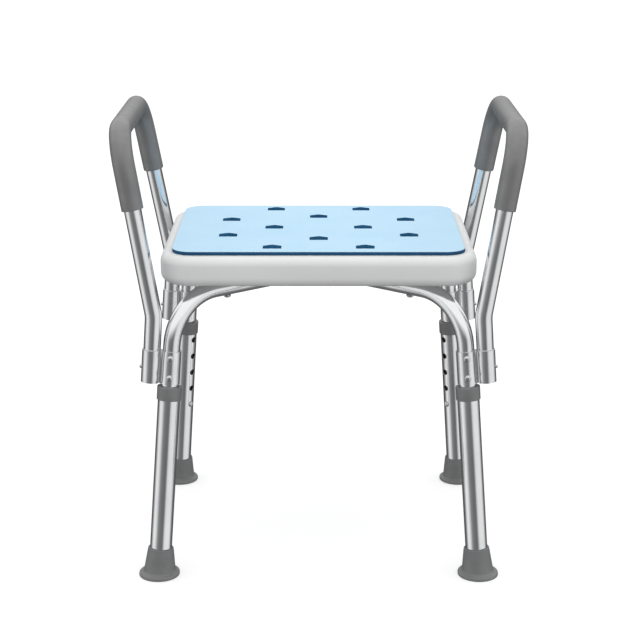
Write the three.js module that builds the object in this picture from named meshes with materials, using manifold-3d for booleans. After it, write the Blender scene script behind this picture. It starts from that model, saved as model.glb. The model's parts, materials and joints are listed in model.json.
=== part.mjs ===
// Bath stool: a padded moulded seat on two bowed tubes, four telescopic legs and two lift-off arms.
// Millimetres, +Z up, the front of the stool faces -Y, left is -X. The origin is on the floor.
import * as THREE from 'three';
import { mergeVertices } from 'three/addons/utils/BufferGeometryUtils.js';
import Module from 'manifold-3d';

const wasm = await Module();
wasm.setup();

// ---- Driving dimensions ----------------------------------------------------------------------

const gap = 0.3; // air left between two pieces that touch
const tubeSides = 14;
const holeSides = 10; // buttons and their holes
const smallSides = 8; // screws, rivets and their holes
const bendStep = THREE.MathUtils.degToRad(22); // turn between two sections of a bend

const seat = {
  width: 405,
  depth: 304,
  thickness: 39.5,
  topHeight: 422.5, // of the moulded shell, with the legs at their shortest
  standOff: 2, // of the screw bosses, below the shell
  cornerRadius: 42,
  edgeRadius: 12.5,
  wall: 3,
  ventRadius: 3,
  ventInset: 52, // from the front and back edges
};

const pad = { thickness: 5, sideRim: 15.5, endRim: 12, cornerRadius: 26, edgeRadius: 1 };

const slot = {
  width: 24,
  side: 16, // straight short sides
  peak: 6.5, // height of the low gable above them
  wall: 2.5, // moulded wall round each slot inside the shell
  sideInset: 68, // outer columns, from the pad's side edges
  endInset: 25, // outer rows, from the pad's front and back edges
  outerRow: 0.41, // rows of the outer columns, as a share of the outer rows' place
  centreRow: 0.58, // rows of the centre column, likewise
};

const tube = { outer: 22.2, wall: 1.5 }; // frame and arm tubes
const legTube = { wall: 1.5, play: 1.7 }; // play round the frame tube inside

const frame = {
  insetX: 19.5, // seat side to the leg axis, at the height of the bows
  insetY: 8.1, // seat front to the leg axis, likewise
  splayX: THREE.MathUtils.degToRad(4.03),
  splayY: THREE.MathUtils.degToRad(4.2),
  bendRadius: 70,
  middleBendRadius: 42,
  middleHalf: 22, // half of the stretch where the two bows run side by side
  tailBelowButton: 18, // end of the bow inside the leg, below its button
};

const bracket = { length: 43, wall: 1, sharedWall: 1.4, web: 9, aboveCollar: 3.6, belowBend: 6.5 };

const rivet = { shank: 4, head: 8.4, headHeight: 2.2, tail: 5.4, tailLength: 1.2, pitch: 25.4 };

const collar = { wall: 0.9, length: 17.5, cap: 3, bushLength: 18 };

const heights = { pitch: 25.4, settings: 5, firstBelowCollar: 8.7 };

const foot = {
  height: 37.5,
  sole: 8,
  topWall: 1.9,
  coneSpread: 4.1, // of the cup, from its top to its bottom
  flangeWidth: 5.5,
  flangeHeight: 5.5,
  flangeEdge: 2,
};

const button = {
  legRadius: 3.7,
  armRadius: 2.3,
  dome: 1.6,
  legProud: 2.4, // stands out of the leg tube
  armProud: 2.4, // stands out of the bracket
  collarRadius: 4.8,
  collarHeight: 0.9,
  collarDepth: 2.8, // inner face of the button's collar, inside the tube's bore
  holePlay: 0.4,
};

const clip = { width: 7, thickness: 0.7, reach: 14, backPlay: 1.4 };

const arm = {
  tail: 19, // end of the arm tube, below the middle of its bracket
  kinkAbove: 68, // kink, above the middle of the bracket
  overSeat: 154.5, // centre line of the top run, above the shell
  outside: 47.7, // centre line of the top run, outside the seat's side
  topInset: 21, // corners of the top run, from the seat's front and back
  kinkRadius: 42,
  bendRadius: 46,
};

const grip = { wall: 2.7, clearance: 0.35, dropBelowTop: 96 };

const screw = { shank: 4.6, head: 9.5, headHeight: 3, intoSeat: 14, boss: 7.5, along: 83 };

const bolt = { shank: 6, head: 11, headHeight: 4, nutAcross: 5.8, nutHeight: 5, betweenTubes: 0.8 };

const colours = {
  shell: { color: 0xe9eaea, roughness: 0.5, metalness: 0 },
  pad: { color: 0xbfe2f8, roughness: 0.85, metalness: 0 },
  aluminium: { color: 0xd5d8da, roughness: 0.22, metalness: 1 },
  bracket: { color: 0xc6c9cb, roughness: 0.32, metalness: 1 },
  steel: { color: 0xa9acaf, roughness: 0.35, metalness: 1 },
  greyPlastic: { color: 0x6c6e71, roughness: 0.55, metalness: 0 },
  greyRubber: { color: 0x67696c, roughness: 0.8, metalness: 0 },
  greyFoam: { color: 0x737578, roughness: 0.9, metalness: 0 },
};

const corners = [
  { name: 'front_left', sx: -1, sy: -1 },
  { name: 'front_right', sx: 1, sy: -1 },
  { name: 'rear_left', sx: -1, sy: 1 },
  { name: 'rear_right', sx: 1, sy: 1 },
];

// ---- Sizes that follow from them -------------------------------------------------------------

const tubeRadius = tube.outer / 2;
const legRadius = tubeRadius + legTube.play + legTube.wall;
const tubeBore = tubeRadius - tube.wall;
const shellBottom = seat.topHeight - seat.thickness;
const bowHeight = shellBottom - seat.standOff - gap - tubeRadius;
const padWidth = seat.width - 2 * pad.sideRim;
const padDepth = seat.depth - 2 * pad.endRim;
const sleeveBore = circumscribed(tubeRadius + gap, tubeSides);
const sleeveRadius = sleeveBore + bracket.wall;
const sleeveSpacing = 2 * sleeveBore + bracket.sharedWall;
const bracketHeight = bendStart() - bracket.belowBend - bracket.length / 2; // of its middle
const collarTop = bracketHeight - bracket.length / 2 - bracket.aboveCollar;
const legTop = collarTop - collar.cap - gap;
const firstHole = collarTop - collar.length - heights.firstBelowCollar;
const buttonPlace = firstHole - (heights.settings - 1) * heights.pitch;
const bowEnd = buttonPlace - frame.tailBelowButton;
const legButtonHole = circumscribed(button.legRadius + button.holePlay, holeSides);
const armButtonHole = circumscribed(button.armRadius + button.holePlay, holeSides);
const collarPlace = tubeBore - button.collarDepth; // inner face of a button's collar, from the axis

// Distance along a leg from the floor to where the bow starts to bend away from it.
function bendStart() {
  const corner = corners[0];
  const towardsMiddle = bowMiddle(corner).sub(bowCorner(corner));
  const half = legDown(corner).angleTo(towardsMiddle) / 2;
  return bowHeight * legDown(corner).length() - frame.bendRadius / Math.tan(half);
}

// ---- Geometry helpers ------------------------------------------------------------------------

// Radius of a polygon's corners when its flats are to stay outside the given radius.
function circumscribed(radius, sides) {
  return radius / Math.cos(Math.PI / sides);
}

function circle(radius, sides = tubeSides) {
  const turn = (2 * Math.PI) / sides;
  return Array.from({ length: sides }, (_, i) => {
    return new THREE.Vector2(radius * Math.cos(i * turn), radius * Math.sin(i * turn));
  });
}

function ring(outer, inner, sides = tubeSides) {
  const shape = new THREE.Shape(circle(outer, sides));
  shape.holes.push(new THREE.Path(circle(inner, sides)));
  return shape;
}

function roundedRectangle(width, depth, radius, cornerSteps = 4) {
  const points = [];
  for (let quarter = 0; quarter < 4; quarter += 1) {
    const sx = quarter === 0 || quarter === 3 ? 1 : -1;
    const sy = quarter < 2 ? 1 : -1;
    for (let step = 0; step <= cornerSteps; step += 1) {
      const angle = (quarter + step / cornerSteps) * (Math.PI / 2);
      const x = sx * (width / 2 - radius) + radius * Math.cos(angle);
      const y = sy * (depth / 2 - radius) + radius * Math.sin(angle);
      points.push(new THREE.Vector2(x, y));
    }
  }
  return points;
}

// A flat outline drawn up from z = low to z = high.
function prism(shape, low, high) {
  const geometry = new THREE.ExtrudeGeometry(shape, { depth: high - low, bevelEnabled: false });
  return geometry.translate(0, 0, low);
}

function rod(radius, low, high, sides = holeSides) {
  return prism(new THREE.Shape(circle(radius, sides)), low, high);
}

// Hole for a screw, rivet or bolt of the given thickness.
function smallHole(thickness, low, high) {
  return rod(circumscribed(thickness / 2 + gap, smallSides), low, high, smallSides);
}

// A profile of [radius, height] pairs turned about Z; it goes up on its outer side.
function turned(profile, sides = tubeSides) {
  const points = profile.map(([r, z]) => new THREE.Vector2(r, z));
  return new THREE.LatheGeometry(points, sides).rotateX(Math.PI / 2);
}

// A slab with rounded rectangular outline and rounded top and bottom edges.
function slab(width, depth, corner, edge, low, high, edgeSteps = 2) {
  const outline = roundedRectangle(width - 2 * edge, depth - 2 * edge, corner - edge);
  const options = {
    depth: high - low - 2 * edge,
    bevelEnabled: true,
    bevelSize: edge,
    bevelThickness: edge,
    bevelSegments: edgeSteps,
  };
  return new THREE.ExtrudeGeometry(new THREE.Shape(outline), options).translate(0, 0, low + edge);
}

function toSolid(geometry) {
  const bare = geometry.clone();
  bare.deleteAttribute('normal');
  bare.deleteAttribute('uv');
  const merged = mergeVertices(bare, 1e-4);
  const vertProperties = merged.attributes.position.array;
  const triVerts = merged.index.array;
  return new wasm.Manifold(new wasm.Mesh({ numProp: 3, vertProperties, triVerts }));
}

function toGeometry(body) {
  const mesh = body.getMesh();
  const geometry = new THREE.BufferGeometry();
  geometry.setAttribute('position', new THREE.BufferAttribute(new Float32Array(mesh.vertProperties), 3));
  geometry.setIndex(new THREE.BufferAttribute(new Uint32Array(mesh.triVerts), 1));
  geometry.computeVertexNormals();
  return geometry;
}

function joined(...geometries) {
  return toGeometry(geometries.map(toSolid).reduce((all, next) => all.add(next)));
}

function cut(geometry, ...tools) {
  return toGeometry(tools.map(toSolid).reduce((rest, tool) => rest.subtract(tool), toSolid(geometry)));
}

function common(geometry, tool) {
  return toGeometry(toSolid(geometry).intersect(toSolid(tool)));
}

// Frame with its Z along the given direction and its X as near as it can be to the other one.
function frameAt(origin, zAxis, xHint) {
  const z = zAxis.clone().normalize();
  const y = z.clone().cross(xHint).normalize();
  const x = y.clone().cross(z);
  return new THREE.Matrix4().makeBasis(x, y, z).setPosition(origin);
}

// Turns a piece that was drawn up Z to point along local X, and moves it up to the given height.
function facingX(geometry, height = 0) {
  return geometry.rotateY(Math.PI / 2).translate(0, 0, height);
}

// A centre line of straight stretches joined by round bends.
class BentLine extends THREE.Curve {
  constructor(points, radii) {
    super();
    const first = points[1].clone().sub(points[0]).normalize();
    const last = points.at(-1).clone().sub(points.at(-2)).normalize();
    this.stations = [{ point: points[0], tangent: first }];
    radii.forEach((radius, i) => {
      this.stations.push(...bend(points[i], points[i + 1], points[i + 2], radius));
    });
    this.stations.push({ point: points.at(-1), tangent: last });
  }

  get steps() {
    return this.stations.length - 1;
  }

  getPoint(t, target = new THREE.Vector3()) {
    const place = t * this.steps;
    const low = Math.min(Math.floor(place), this.steps - 1);
    return target.lerpVectors(this.stations[low].point, this.stations[low + 1].point, place - low);
  }

  getPointAt(u, target) {
    return this.getPoint(u, target);
  }

  getTangentAt(u, target = new THREE.Vector3()) {
    return target.copy(this.stations[Math.round(u * this.steps)].tangent);
  }

  getSpacedPoints() {
    return this.stations.map((station) => station.point);
  }
}

// The sections of one round bend at a corner, with their directions.
function bend(before, corner, after, radius) {
  const back = before.clone().sub(corner).normalize();
  const ahead = after.clone().sub(corner).normalize();
  const half = back.angleTo(ahead) / 2;
  const travel = back.clone().negate();
  const start = corner.clone().addScaledVector(back, radius / Math.tan(half));
  const middle = back.clone().add(ahead).normalize();
  const centre = corner.clone().addScaledVector(middle, radius / Math.sin(half));
  const arm0 = start.clone().sub(centre);
  const axis = arm0.clone().cross(travel).normalize();
  const turn = Math.PI - 2 * half;
  const steps = Math.ceil(turn / bendStep);
  return Array.from({ length: steps + 1 }, (_, i) => {
    const angle = (turn * i) / steps;
    return {
      point: arm0.clone().applyAxisAngle(axis, angle).add(centre),
      tangent: travel.clone().applyAxisAngle(axis, angle),
    };
  });
}

function pipe(line, outer, inner) {
  return new THREE.ExtrudeGeometry(ring(outer, inner), {
    steps: line.steps,
    extrudePath: line,
    bevelEnabled: false,
  });
}

const stool = new THREE.Group();

function place(name, geometry, finish, parent = stool) {
  const mesh = new THREE.Mesh(geometry, new THREE.MeshStandardMaterial(colours[finish]));
  mesh.name = name;
  parent.add(mesh);
  return mesh;
}

// ---- Lines and frames of the four corners ----------------------------------------------------

function bowCorner({ sx, sy }) {
  const x = sx * (seat.width / 2 - frame.insetX);
  const y = sy * (seat.depth / 2 - frame.insetY);
  return new THREE.Vector3(x, y, bowHeight);
}

function bowMiddle({ sx, sy }) {
  return new THREE.Vector3(sx * frame.middleHalf, sy * (tubeRadius + bolt.betweenTubes / 2), bowHeight);
}

// Horizontal direction in which the bow leaves the leg.
function bowDirection(corner) {
  return bowMiddle(corner).sub(bowCorner(corner)).normalize();
}

// Down the leg, one unit of height at a time.
function legDown({ sx, sy }) {
  return new THREE.Vector3(sx * Math.tan(frame.splayX), sy * Math.tan(frame.splayY), -1);
}

// Leg frame: origin on the floor, Z up the leg, X towards the middle of the stool.
function legFrame(corner) {
  const down = legDown(corner);
  const floorPoint = bowCorner(corner).addScaledVector(down, bowHeight);
  return frameAt(floorPoint, down.negate(), bowDirection(corner));
}

// Sleeve frame: origin at the middle of the arm's sleeve, Z up the sleeve, X outwards.
function sleeveFrame(corner) {
  const outwards = new THREE.Vector3(corner.sx, 0, 0);
  const up = new THREE.Vector3(-corner.sx * Math.tan(frame.splayX), 0, 1);
  const origin = onLeg(corner, bracketHeight).addScaledVector(outwards, sleeveSpacing);
  return frameAt(origin, up, outwards);
}

// Rivet frame: origin on the leg axis at a height, Z along the rivet, outwards to front or back.
function rivetFrame(corner, height) {
  const up = new THREE.Vector3().setFromMatrixColumn(legFrame(corner), 2);
  const side = up.clone().cross(new THREE.Vector3(0, corner.sy, 0)).normalize();
  return frameAt(onLeg(corner, height), side.cross(up), up);
}

function onLeg(corner, height) {
  return new THREE.Vector3(0, 0, height).applyMatrix4(legFrame(corner));
}

function onSleeve(corner, height) {
  return new THREE.Vector3(0, 0, height).applyMatrix4(sleeveFrame(corner));
}

function groupAt(matrix) {
  const group = new THREE.Group();
  group.applyMatrix4(matrix);
  stool.add(group);
  return group;
}

const rivetHeights = [-1, 1].map((side) => bracketHeight + (side * rivet.pitch) / 2);

// Places of the four screws that hold the seat, on the undersides of the bows.
function screwPlace(corner) {
  return bowCorner(corner).addScaledVector(bowDirection(corner), screw.along);
}

// ---- Seat ------------------------------------------------------------------------------------

function slotPlaces() {
  const outerX = padWidth / 2 - slot.sideInset;
  const outerY = padDepth / 2 - slot.endInset;
  const columns = [
    { x: 0, rows: [-slot.centreRow, slot.centreRow] },
    { x: outerX / 2, rows: [-1, 0, 1] },
    { x: -outerX / 2, rows: [-1, 0, 1] },
    { x: outerX, rows: [-slot.outerRow, slot.outerRow] },
    { x: -outerX, rows: [-slot.outerRow, slot.outerRow] },
  ];
  return columns.flatMap(({ x, rows }) => rows.map((row) => ({ x, y: row * outerY })));
}

// Gabled slot: the near side straight, a low peak at the far side.
function slotOutline({ x, y }, grow = 0) {
  const halfWidth = slot.width / 2 + grow;
  const low = y - slot.side / 2 - grow;
  const high = y + slot.side / 2 + grow;
  return [
    new THREE.Vector2(x - halfWidth, low),
    new THREE.Vector2(x + halfWidth, low),
    new THREE.Vector2(x + halfWidth, high),
    new THREE.Vector2(x, high + slot.peak),
    new THREE.Vector2(x - halfWidth, high),
  ];
}

function slotPrisms(low, high, grow = 0) {
  return slotPlaces().map((at) => prism(new THREE.Shape(slotOutline(at, grow)), low, high));
}

function seatShell() {
  const { width, depth, cornerRadius, edgeRadius, wall } = seat;
  const low = shellBottom;
  const high = seat.topHeight;
  const inside = [width - 2 * wall, depth - 2 * wall, cornerRadius - wall, edgeRadius - wall];
  const underTubes = low - seat.standOff;
  const bosses = corners.map((corner) => {
    const { x, y } = screwPlace(corner);
    return rod(screw.boss, underTubes, high - wall, smallSides).translate(x, y, 0);
  });
  const slotWalls = slotPrisms(low, high, slot.wall);
  const hollow = cut(slab(...inside, low + wall, high - wall), ...slotWalls, ...bosses);
  const screwBores = corners.map((corner) => {
    const { x, y } = screwPlace(corner);
    return smallHole(screw.shank, underTubes - 1, low + screw.intoSeat + gap).translate(x, y, 0);
  });
  const vents = [-1, 1].map((side) => {
    const y = side * (depth / 2 - seat.ventInset);
    return rod(seat.ventRadius, low - 1, low + 2 * wall, smallSides).translate(0, y, 0);
  });
  const outside = joined(slab(width, depth, cornerRadius, edgeRadius, low, high), ...bosses);
  return cut(outside, hollow, ...slotPrisms(low - 1, high + 1), ...screwBores, ...vents);
}

function seatPad() {
  const low = seat.topHeight + gap;
  const high = seat.topHeight + pad.thickness;
  const sheet = slab(padWidth, padDepth, pad.cornerRadius, pad.edgeRadius, low, high, 1);
  return cut(sheet, ...slotPrisms(low - 1, high + 1));
}

place('seat_shell', seatShell(), 'shell');
place('seat_pad', seatPad(), 'pad');

// ---- Bowed frame tubes -----------------------------------------------------------------------

function frameTube(pair) {
  const [left, right] = pair;
  const points = [
    onLeg(left, bowEnd),
    bowCorner(left),
    bowMiddle(left),
    bowMiddle(right),
    bowCorner(right),
    onLeg(right, bowEnd),
  ];
  const { bendRadius, middleBendRadius } = frame;
  const line = new BentLine(points, [bendRadius, middleBendRadius, middleBendRadius, bendRadius]);
  return cut(pipe(line, tubeRadius, tubeBore), ...pair.flatMap(tubeHoles), boltHole(left));
}

// Button, rivet and screw holes at one end of a bow.
function tubeHoles(corner) {
  const { x, y } = screwPlace(corner);
  return [
    facingX(rod(legButtonHole, 0, tube.outer), buttonPlace).applyMatrix4(legFrame(corner)),
    ...rivetHoles(corner),
    smallHole(screw.shank, bowHeight - tube.outer, shellBottom).translate(x, y, 0),
  ];
}

function rivetHoles(corner) {
  return rivetHeights.map((height) => {
    return smallHole(rivet.shank, 0, tube.outer).applyMatrix4(rivetFrame(corner, height));
  });
}

function boltHole({ sy }) {
  const hole = smallHole(bolt.shank, -tube.outer, tube.outer).rotateX(Math.PI / 2);
  return hole.translate(0, sy * tubeRadius, bowHeight);
}

place('front_frame_tube', frameTube(corners.slice(0, 2)), 'aluminium');
place('rear_frame_tube', frameTube(corners.slice(2, 4)), 'aluminium');

// Bolt and nut that hold the two bows together where they run side by side.
function centreBolt() {
  const under = tube.outer + bolt.betweenTubes / 2 + gap;
  const reach = under + bolt.nutHeight + 1.5;
  const profile = [
    [0, -reach],
    [bolt.shank / 2, -reach],
    [bolt.shank / 2, under],
    [bolt.head / 2, under],
    [bolt.head / 2, under + bolt.headHeight / 2],
    [bolt.head / 4, under + bolt.headHeight],
    [0, under + bolt.headHeight],
  ];
  return turned(profile, smallSides).rotateX(Math.PI / 2);
}

function centreNut() {
  const hexagon = new THREE.Shape(circle(bolt.nutAcross, 6));
  hexagon.holes.push(new THREE.Path(circle(circumscribed(bolt.shank / 2 + gap, smallSides), smallSides)));
  const under = tube.outer + bolt.betweenTubes / 2 + gap;
  return prism(hexagon, -under - bolt.nutHeight, -under).rotateX(Math.PI / 2);
}

place('centre_bolt', centreBolt(), 'steel').position.z = bowHeight;
place('centre_nut', centreNut(), 'steel').position.z = bowHeight;

function seatScrew() {
  const under = -tubeRadius - gap;
  const tip = shellBottom - bowHeight + screw.intoSeat;
  return turned([
    [0, under - screw.headHeight],
    [screw.head / 4, under - screw.headHeight],
    [screw.head / 2, under - screw.headHeight / 3],
    [screw.head / 2, under],
    [screw.shank / 2, under],
    [screw.shank / 2, tip - screw.shank],
    [0, tip],
  ], smallSides);
}

corners.forEach((corner) => {
  place(`seat_screw_${corner.name}`, seatScrew(), 'steel').position.copy(screwPlace(corner));
});

// ---- Brackets and their rivets ---------------------------------------------------------------

// Twin sleeve: one bore for the frame tube, one for the arm tube, and a web between them.
function twinSleeve(corner) {
  const centre = onLeg(corner, bracketHeight);
  const leg = new THREE.Matrix4().makeTranslation(0, 0, bracketHeight).premultiply(legFrame(corner));
  const sleeve = sleeveFrame(corner);
  const post = () => rod(sleeveRadius, -bracket.length, bracket.length, tubeSides);
  const web = new THREE.BoxGeometry(sleeveSpacing, bracket.web, 2 * bracket.length);
  const webTurn = new THREE.Matrix4().makeRotationY(-corner.sx * frame.splayX);
  const middle = centre.clone().add(onSleeve(corner, 0)).multiplyScalar(0.5);
  const body = joined(
    post().applyMatrix4(leg),
    post().applyMatrix4(sleeve),
    web.applyMatrix4(webTurn).translate(middle.x, middle.y, middle.z),
  );
  const across = 4 * sleeveSpacing;
  const squareEnds = new THREE.BoxGeometry(across, across, bracket.length).applyMatrix4(leg);
  const bore = () => rod(sleeveBore, -2 * bracket.length, 2 * bracket.length, tubeSides);
  return cut(
    common(body, squareEnds),
    bore().applyMatrix4(leg),
    bore().applyMatrix4(sleeve),
    facingX(rod(armButtonHole, 0, 2 * sleeveRadius)).applyMatrix4(sleeve),
    ...rivetHoles(corner),
  );
}

// Blind rivet: dome outside the sleeve, shank through both walls, flared tail inside the tube.
function blindRivet() {
  const seatAt = sleeveRadius + gap;
  const tailTop = flatInBore(rivet.tail / 2) - gap;
  return turned([
    [0, tailTop - rivet.tailLength],
    [rivet.tail / 2, tailTop - rivet.tailLength],
    [rivet.tail / 2, tailTop - rivet.tailLength / 3],
    [rivet.shank / 2, tailTop],
    [rivet.shank / 2, seatAt],
    [rivet.head / 2, seatAt],
    [rivet.head * 0.4, seatAt + rivet.headHeight * 0.65],
    [0, seatAt + rivet.headHeight],
  ], smallSides);
}

// How far from the tube's axis a flat disc of the given radius fits inside the bore.
function flatInBore(radius) {
  return Math.sqrt((tubeBore * Math.cos(Math.PI / tubeSides)) ** 2 - radius ** 2);
}

corners.forEach((corner) => {
  place(`twin_bracket_${corner.name}`, twinSleeve(corner), 'bracket');
  rivetHeights.forEach((height, i) => {
    const name = `bracket_rivet_${corner.name}_${i === 0 ? 'lower' : 'upper'}`;
    place(name, blindRivet(), 'steel', groupAt(rivetFrame(corner, height)));
  });
});

// ---- Telescopic legs -------------------------------------------------------------------------

function legBody() {
  const inner = legRadius - legTube.wall;
  const holes = Array.from({ length: heights.settings }, (_, i) => {
    return facingX(rod(legButtonHole, 0, 2 * legRadius), firstHole - i * heights.pitch);
  });
  return cut(prism(ring(legRadius, inner), foot.sole + gap, legTop), ...holes);
}

// Collar cap on the leg tube, with a bush inside it that guides the frame tube.
function legCollar() {
  const bore = circumscribed(tubeRadius + gap, tubeSides);
  const bushOuter = (legRadius - legTube.wall - gap) * Math.cos(Math.PI / tubeSides);
  const skirtInner = circumscribed(legRadius + gap, tubeSides);
  const skirtOuter = skirtInner + collar.wall;
  const underCap = collarTop - collar.cap;
  return turned([
    [bore, underCap - collar.bushLength],
    [bushOuter, underCap - collar.bushLength],
    [bushOuter, underCap],
    [skirtInner, underCap],
    [skirtInner, collarTop - collar.length],
    [skirtOuter, collarTop - collar.length],
    [skirtOuter, collarTop - collar.wall],
    [skirtOuter - collar.wall, collarTop],
    [bore, collarTop],
    [bore, underCap - collar.bushLength],
  ]);
}

// Rubber foot: a cup along the leg with a level flange, so that it stands flat on the floor.
function rubberFoot(corner) {
  const cupBore = circumscribed(legRadius + gap, tubeSides);
  const topRadius = cupBore + foot.topWall;
  const bottomRadius = topRadius + foot.coneSpread;
  const flangeRadius = bottomRadius + foot.flangeWidth;
  const cup = turned([
    [0, -foot.sole],
    [bottomRadius, -foot.sole],
    [bottomRadius, foot.flangeHeight],
    [topRadius, foot.height],
    [0, foot.height],
  ]);
  const upright = new THREE.Matrix4().extractRotation(legFrame(corner)).transpose();
  const flange = turned([
    [0, 0],
    [flangeRadius, 0],
    [flangeRadius, foot.flangeHeight - foot.flangeEdge],
    [flangeRadius - foot.flangeEdge, foot.flangeHeight],
    [0, foot.flangeHeight],
  ], 18).applyMatrix4(upright);
  const floor = new THREE.BoxGeometry(4 * flangeRadius, 4 * flangeRadius, 4 * foot.sole);
  floor.translate(0, 0, -2 * foot.sole).applyMatrix4(upright);
  return cut(joined(cup, flange), floor, rod(cupBore, foot.sole, 2 * foot.height, tubeSides));
}

corners.forEach((corner) => {
  const leg = groupAt(legFrame(corner));
  place(`leg_tube_${corner.name}`, legBody(), 'aluminium', leg);
  place(`leg_collar_${corner.name}`, legCollar(), 'greyPlastic', leg);
  place(`rubber_foot_${corner.name}`, rubberFoot(corner), 'greyRubber', leg);
});

// ---- Snap buttons and their leaf springs -----------------------------------------------------

// Button that slides along X: collar inside the tube, domed end outside the outer wall.
function snapButton(radius, tip) {
  const { dome, collarRadius, collarHeight } = button;
  return facingX(turned([
    [0, collarPlace],
    [collarRadius, collarPlace],
    [collarRadius, collarPlace + collarHeight],
    [radius, collarPlace + collarHeight],
    [radius, tip - dome],
    [radius * 0.62, tip - dome * 0.25],
    [0, tip],
  ], holeSides));
}

// Hairpin leaf spring in the XZ plane: one leaf behind the button, one on the far wall.
function leafSpring() {
  const front = collarPlace - gap;
  const { thickness, reach } = clip;
  const backPlace = clip.backPlay - tubeBore;
  const outline = [
    [front, reach * 0.5],
    [front - thickness, reach * 0.5],
    [front - thickness, -reach * 0.45],
    [backPlace + 2.2 * thickness, -reach + thickness],
    [backPlace + thickness, -reach * 0.8],
    [backPlace + thickness, reach],
    [backPlace, reach],
    [backPlace, -reach * 0.85],
    [backPlace + 1.6 * thickness, -reach],
    [backPlace + 3.6 * thickness, -reach],
    [front, -reach * 0.5],
  ];
  const shape = new THREE.Shape(outline.map(([x, z]) => new THREE.Vector2(x, z)));
  return prism(shape, -clip.width / 2, clip.width / 2).rotateX(Math.PI / 2);
}

corners.forEach((corner) => {
  const upTheLeg = new THREE.Matrix4().makeTranslation(0, 0, buttonPlace);
  const inLeg = groupAt(legFrame(corner).multiply(upTheLeg));
  const legButton = snapButton(button.legRadius, legRadius + button.legProud);
  place(`leg_button_${corner.name}`, legButton, 'steel', inLeg);
  place(`leg_button_spring_${corner.name}`, leafSpring(), 'steel', inLeg);
  const inSleeve = groupAt(sleeveFrame(corner));
  const armButton = snapButton(button.armRadius, sleeveRadius + button.armProud);
  place(`arm_button_${corner.name}`, armButton, 'steel', inSleeve);
  place(`arm_button_spring_${corner.name}`, leafSpring(), 'steel', inSleeve);
});

// ---- Arms and grips --------------------------------------------------------------------------

function armTop({ sx, sy }) {
  const x = sx * (seat.width / 2 + arm.outside);
  const y = sy * (seat.depth / 2 - arm.topInset);
  return new THREE.Vector3(x, y, seat.topHeight + arm.overSeat);
}

function armTube(front, rear) {
  const points = [
    onSleeve(front, -arm.tail),
    onSleeve(front, arm.kinkAbove),
    armTop(front),
    armTop(rear),
    onSleeve(rear, arm.kinkAbove),
    onSleeve(rear, -arm.tail),
  ];
  const line = new BentLine(points, [arm.kinkRadius, arm.bendRadius, arm.bendRadius, arm.kinkRadius]);
  const holes = [front, rear].map((corner) => {
    return facingX(rod(armButtonHole, 0, tube.outer)).applyMatrix4(sleeveFrame(corner));
  });
  return cut(pipe(line, tubeRadius, tubeBore), ...holes);
}

// Point where the grip ends on an upright of the arm.
function gripEnd(corner) {
  const top = armTop(corner);
  const upright = onSleeve(corner, arm.kinkAbove).sub(top);
  return top.addScaledVector(upright, grip.dropBelowTop / Math.abs(upright.z));
}

function armGrip(front, rear) {
  const points = [gripEnd(front), armTop(front), armTop(rear), gripEnd(rear)];
  const inner = circumscribed(tubeRadius + grip.clearance, tubeSides);
  return pipe(new BentLine(points, [arm.bendRadius, arm.bendRadius]), inner + grip.wall, inner);
}

['left', 'right'].forEach((side, i) => {
  const [front, rear] = [corners[i], corners[i + 2]];
  place(`arm_tube_${side}`, armTube(front, rear), 'aluminium');
  place(`arm_grip_${side}`, armGrip(front, rear), 'greyFoam');
});

export default stool;
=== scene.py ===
import json
import math

import bmesh
import bpy
from mathutils import Matrix, Quaternion, Vector


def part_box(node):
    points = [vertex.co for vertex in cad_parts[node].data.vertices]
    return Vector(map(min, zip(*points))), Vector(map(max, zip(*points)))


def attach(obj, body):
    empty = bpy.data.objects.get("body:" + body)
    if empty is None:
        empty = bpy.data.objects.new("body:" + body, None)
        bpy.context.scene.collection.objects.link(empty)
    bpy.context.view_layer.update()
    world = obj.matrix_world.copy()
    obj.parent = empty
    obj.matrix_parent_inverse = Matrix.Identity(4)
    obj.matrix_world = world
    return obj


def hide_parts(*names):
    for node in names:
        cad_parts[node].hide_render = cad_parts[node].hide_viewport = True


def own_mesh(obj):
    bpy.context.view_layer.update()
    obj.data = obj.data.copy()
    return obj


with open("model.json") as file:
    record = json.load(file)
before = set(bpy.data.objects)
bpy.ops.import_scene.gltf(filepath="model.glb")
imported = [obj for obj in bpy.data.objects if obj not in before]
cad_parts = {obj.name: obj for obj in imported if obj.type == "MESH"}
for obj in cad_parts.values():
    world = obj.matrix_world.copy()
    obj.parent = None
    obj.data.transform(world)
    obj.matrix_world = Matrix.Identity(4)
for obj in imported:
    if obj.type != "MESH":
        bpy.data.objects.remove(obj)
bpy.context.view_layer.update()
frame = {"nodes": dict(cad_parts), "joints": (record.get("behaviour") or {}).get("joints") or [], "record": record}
record = frame["record"]
joints = {joint["name"]: joint for joint in frame["joints"]}
scene = bpy.context.scene

# All sizes are in metres; mm turns workshop sizes into them.
mm = 0.001
up = Vector((0, 0, 1))
cornerNames = ["front_left", "front_right", "rear_left", "rear_right"]
sideNames = ["left", "right"]
rootBody = "seat_and_frame"

# Sizes that several pieces share.
fit = {
    "gap": 0.3 * mm,
    "tubeRadius": 11.1 * mm,
    "legRadius": 14.3 * mm,
    "wall": 1.5 * mm,
    "sleeveWall": 1.25 * mm,
    "sleeveSpacing": 24.79 * mm,
    "buttonHole": 4.15 * mm,
    "armButtonHole": 2.7 * mm,
    "rivetPitch": 25.4 * mm,
    "rivetHole": 2.3 * mm,
    "screwHole": 2.6 * mm,
    "holePitch": 25.4 * mm,
    "holes": 5,
}
sleeveBore = fit["tubeRadius"] + fit["gap"]
sleeveRadius = sleeveBore + fit["sleeveWall"]

camera = {
    "distance": 2.1921,
    "height": 0.9237,
    "tilt": 15.93,
    "sensor": 36,
    "lens": 94.05,
    "shift": 0.0021,
}


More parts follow.
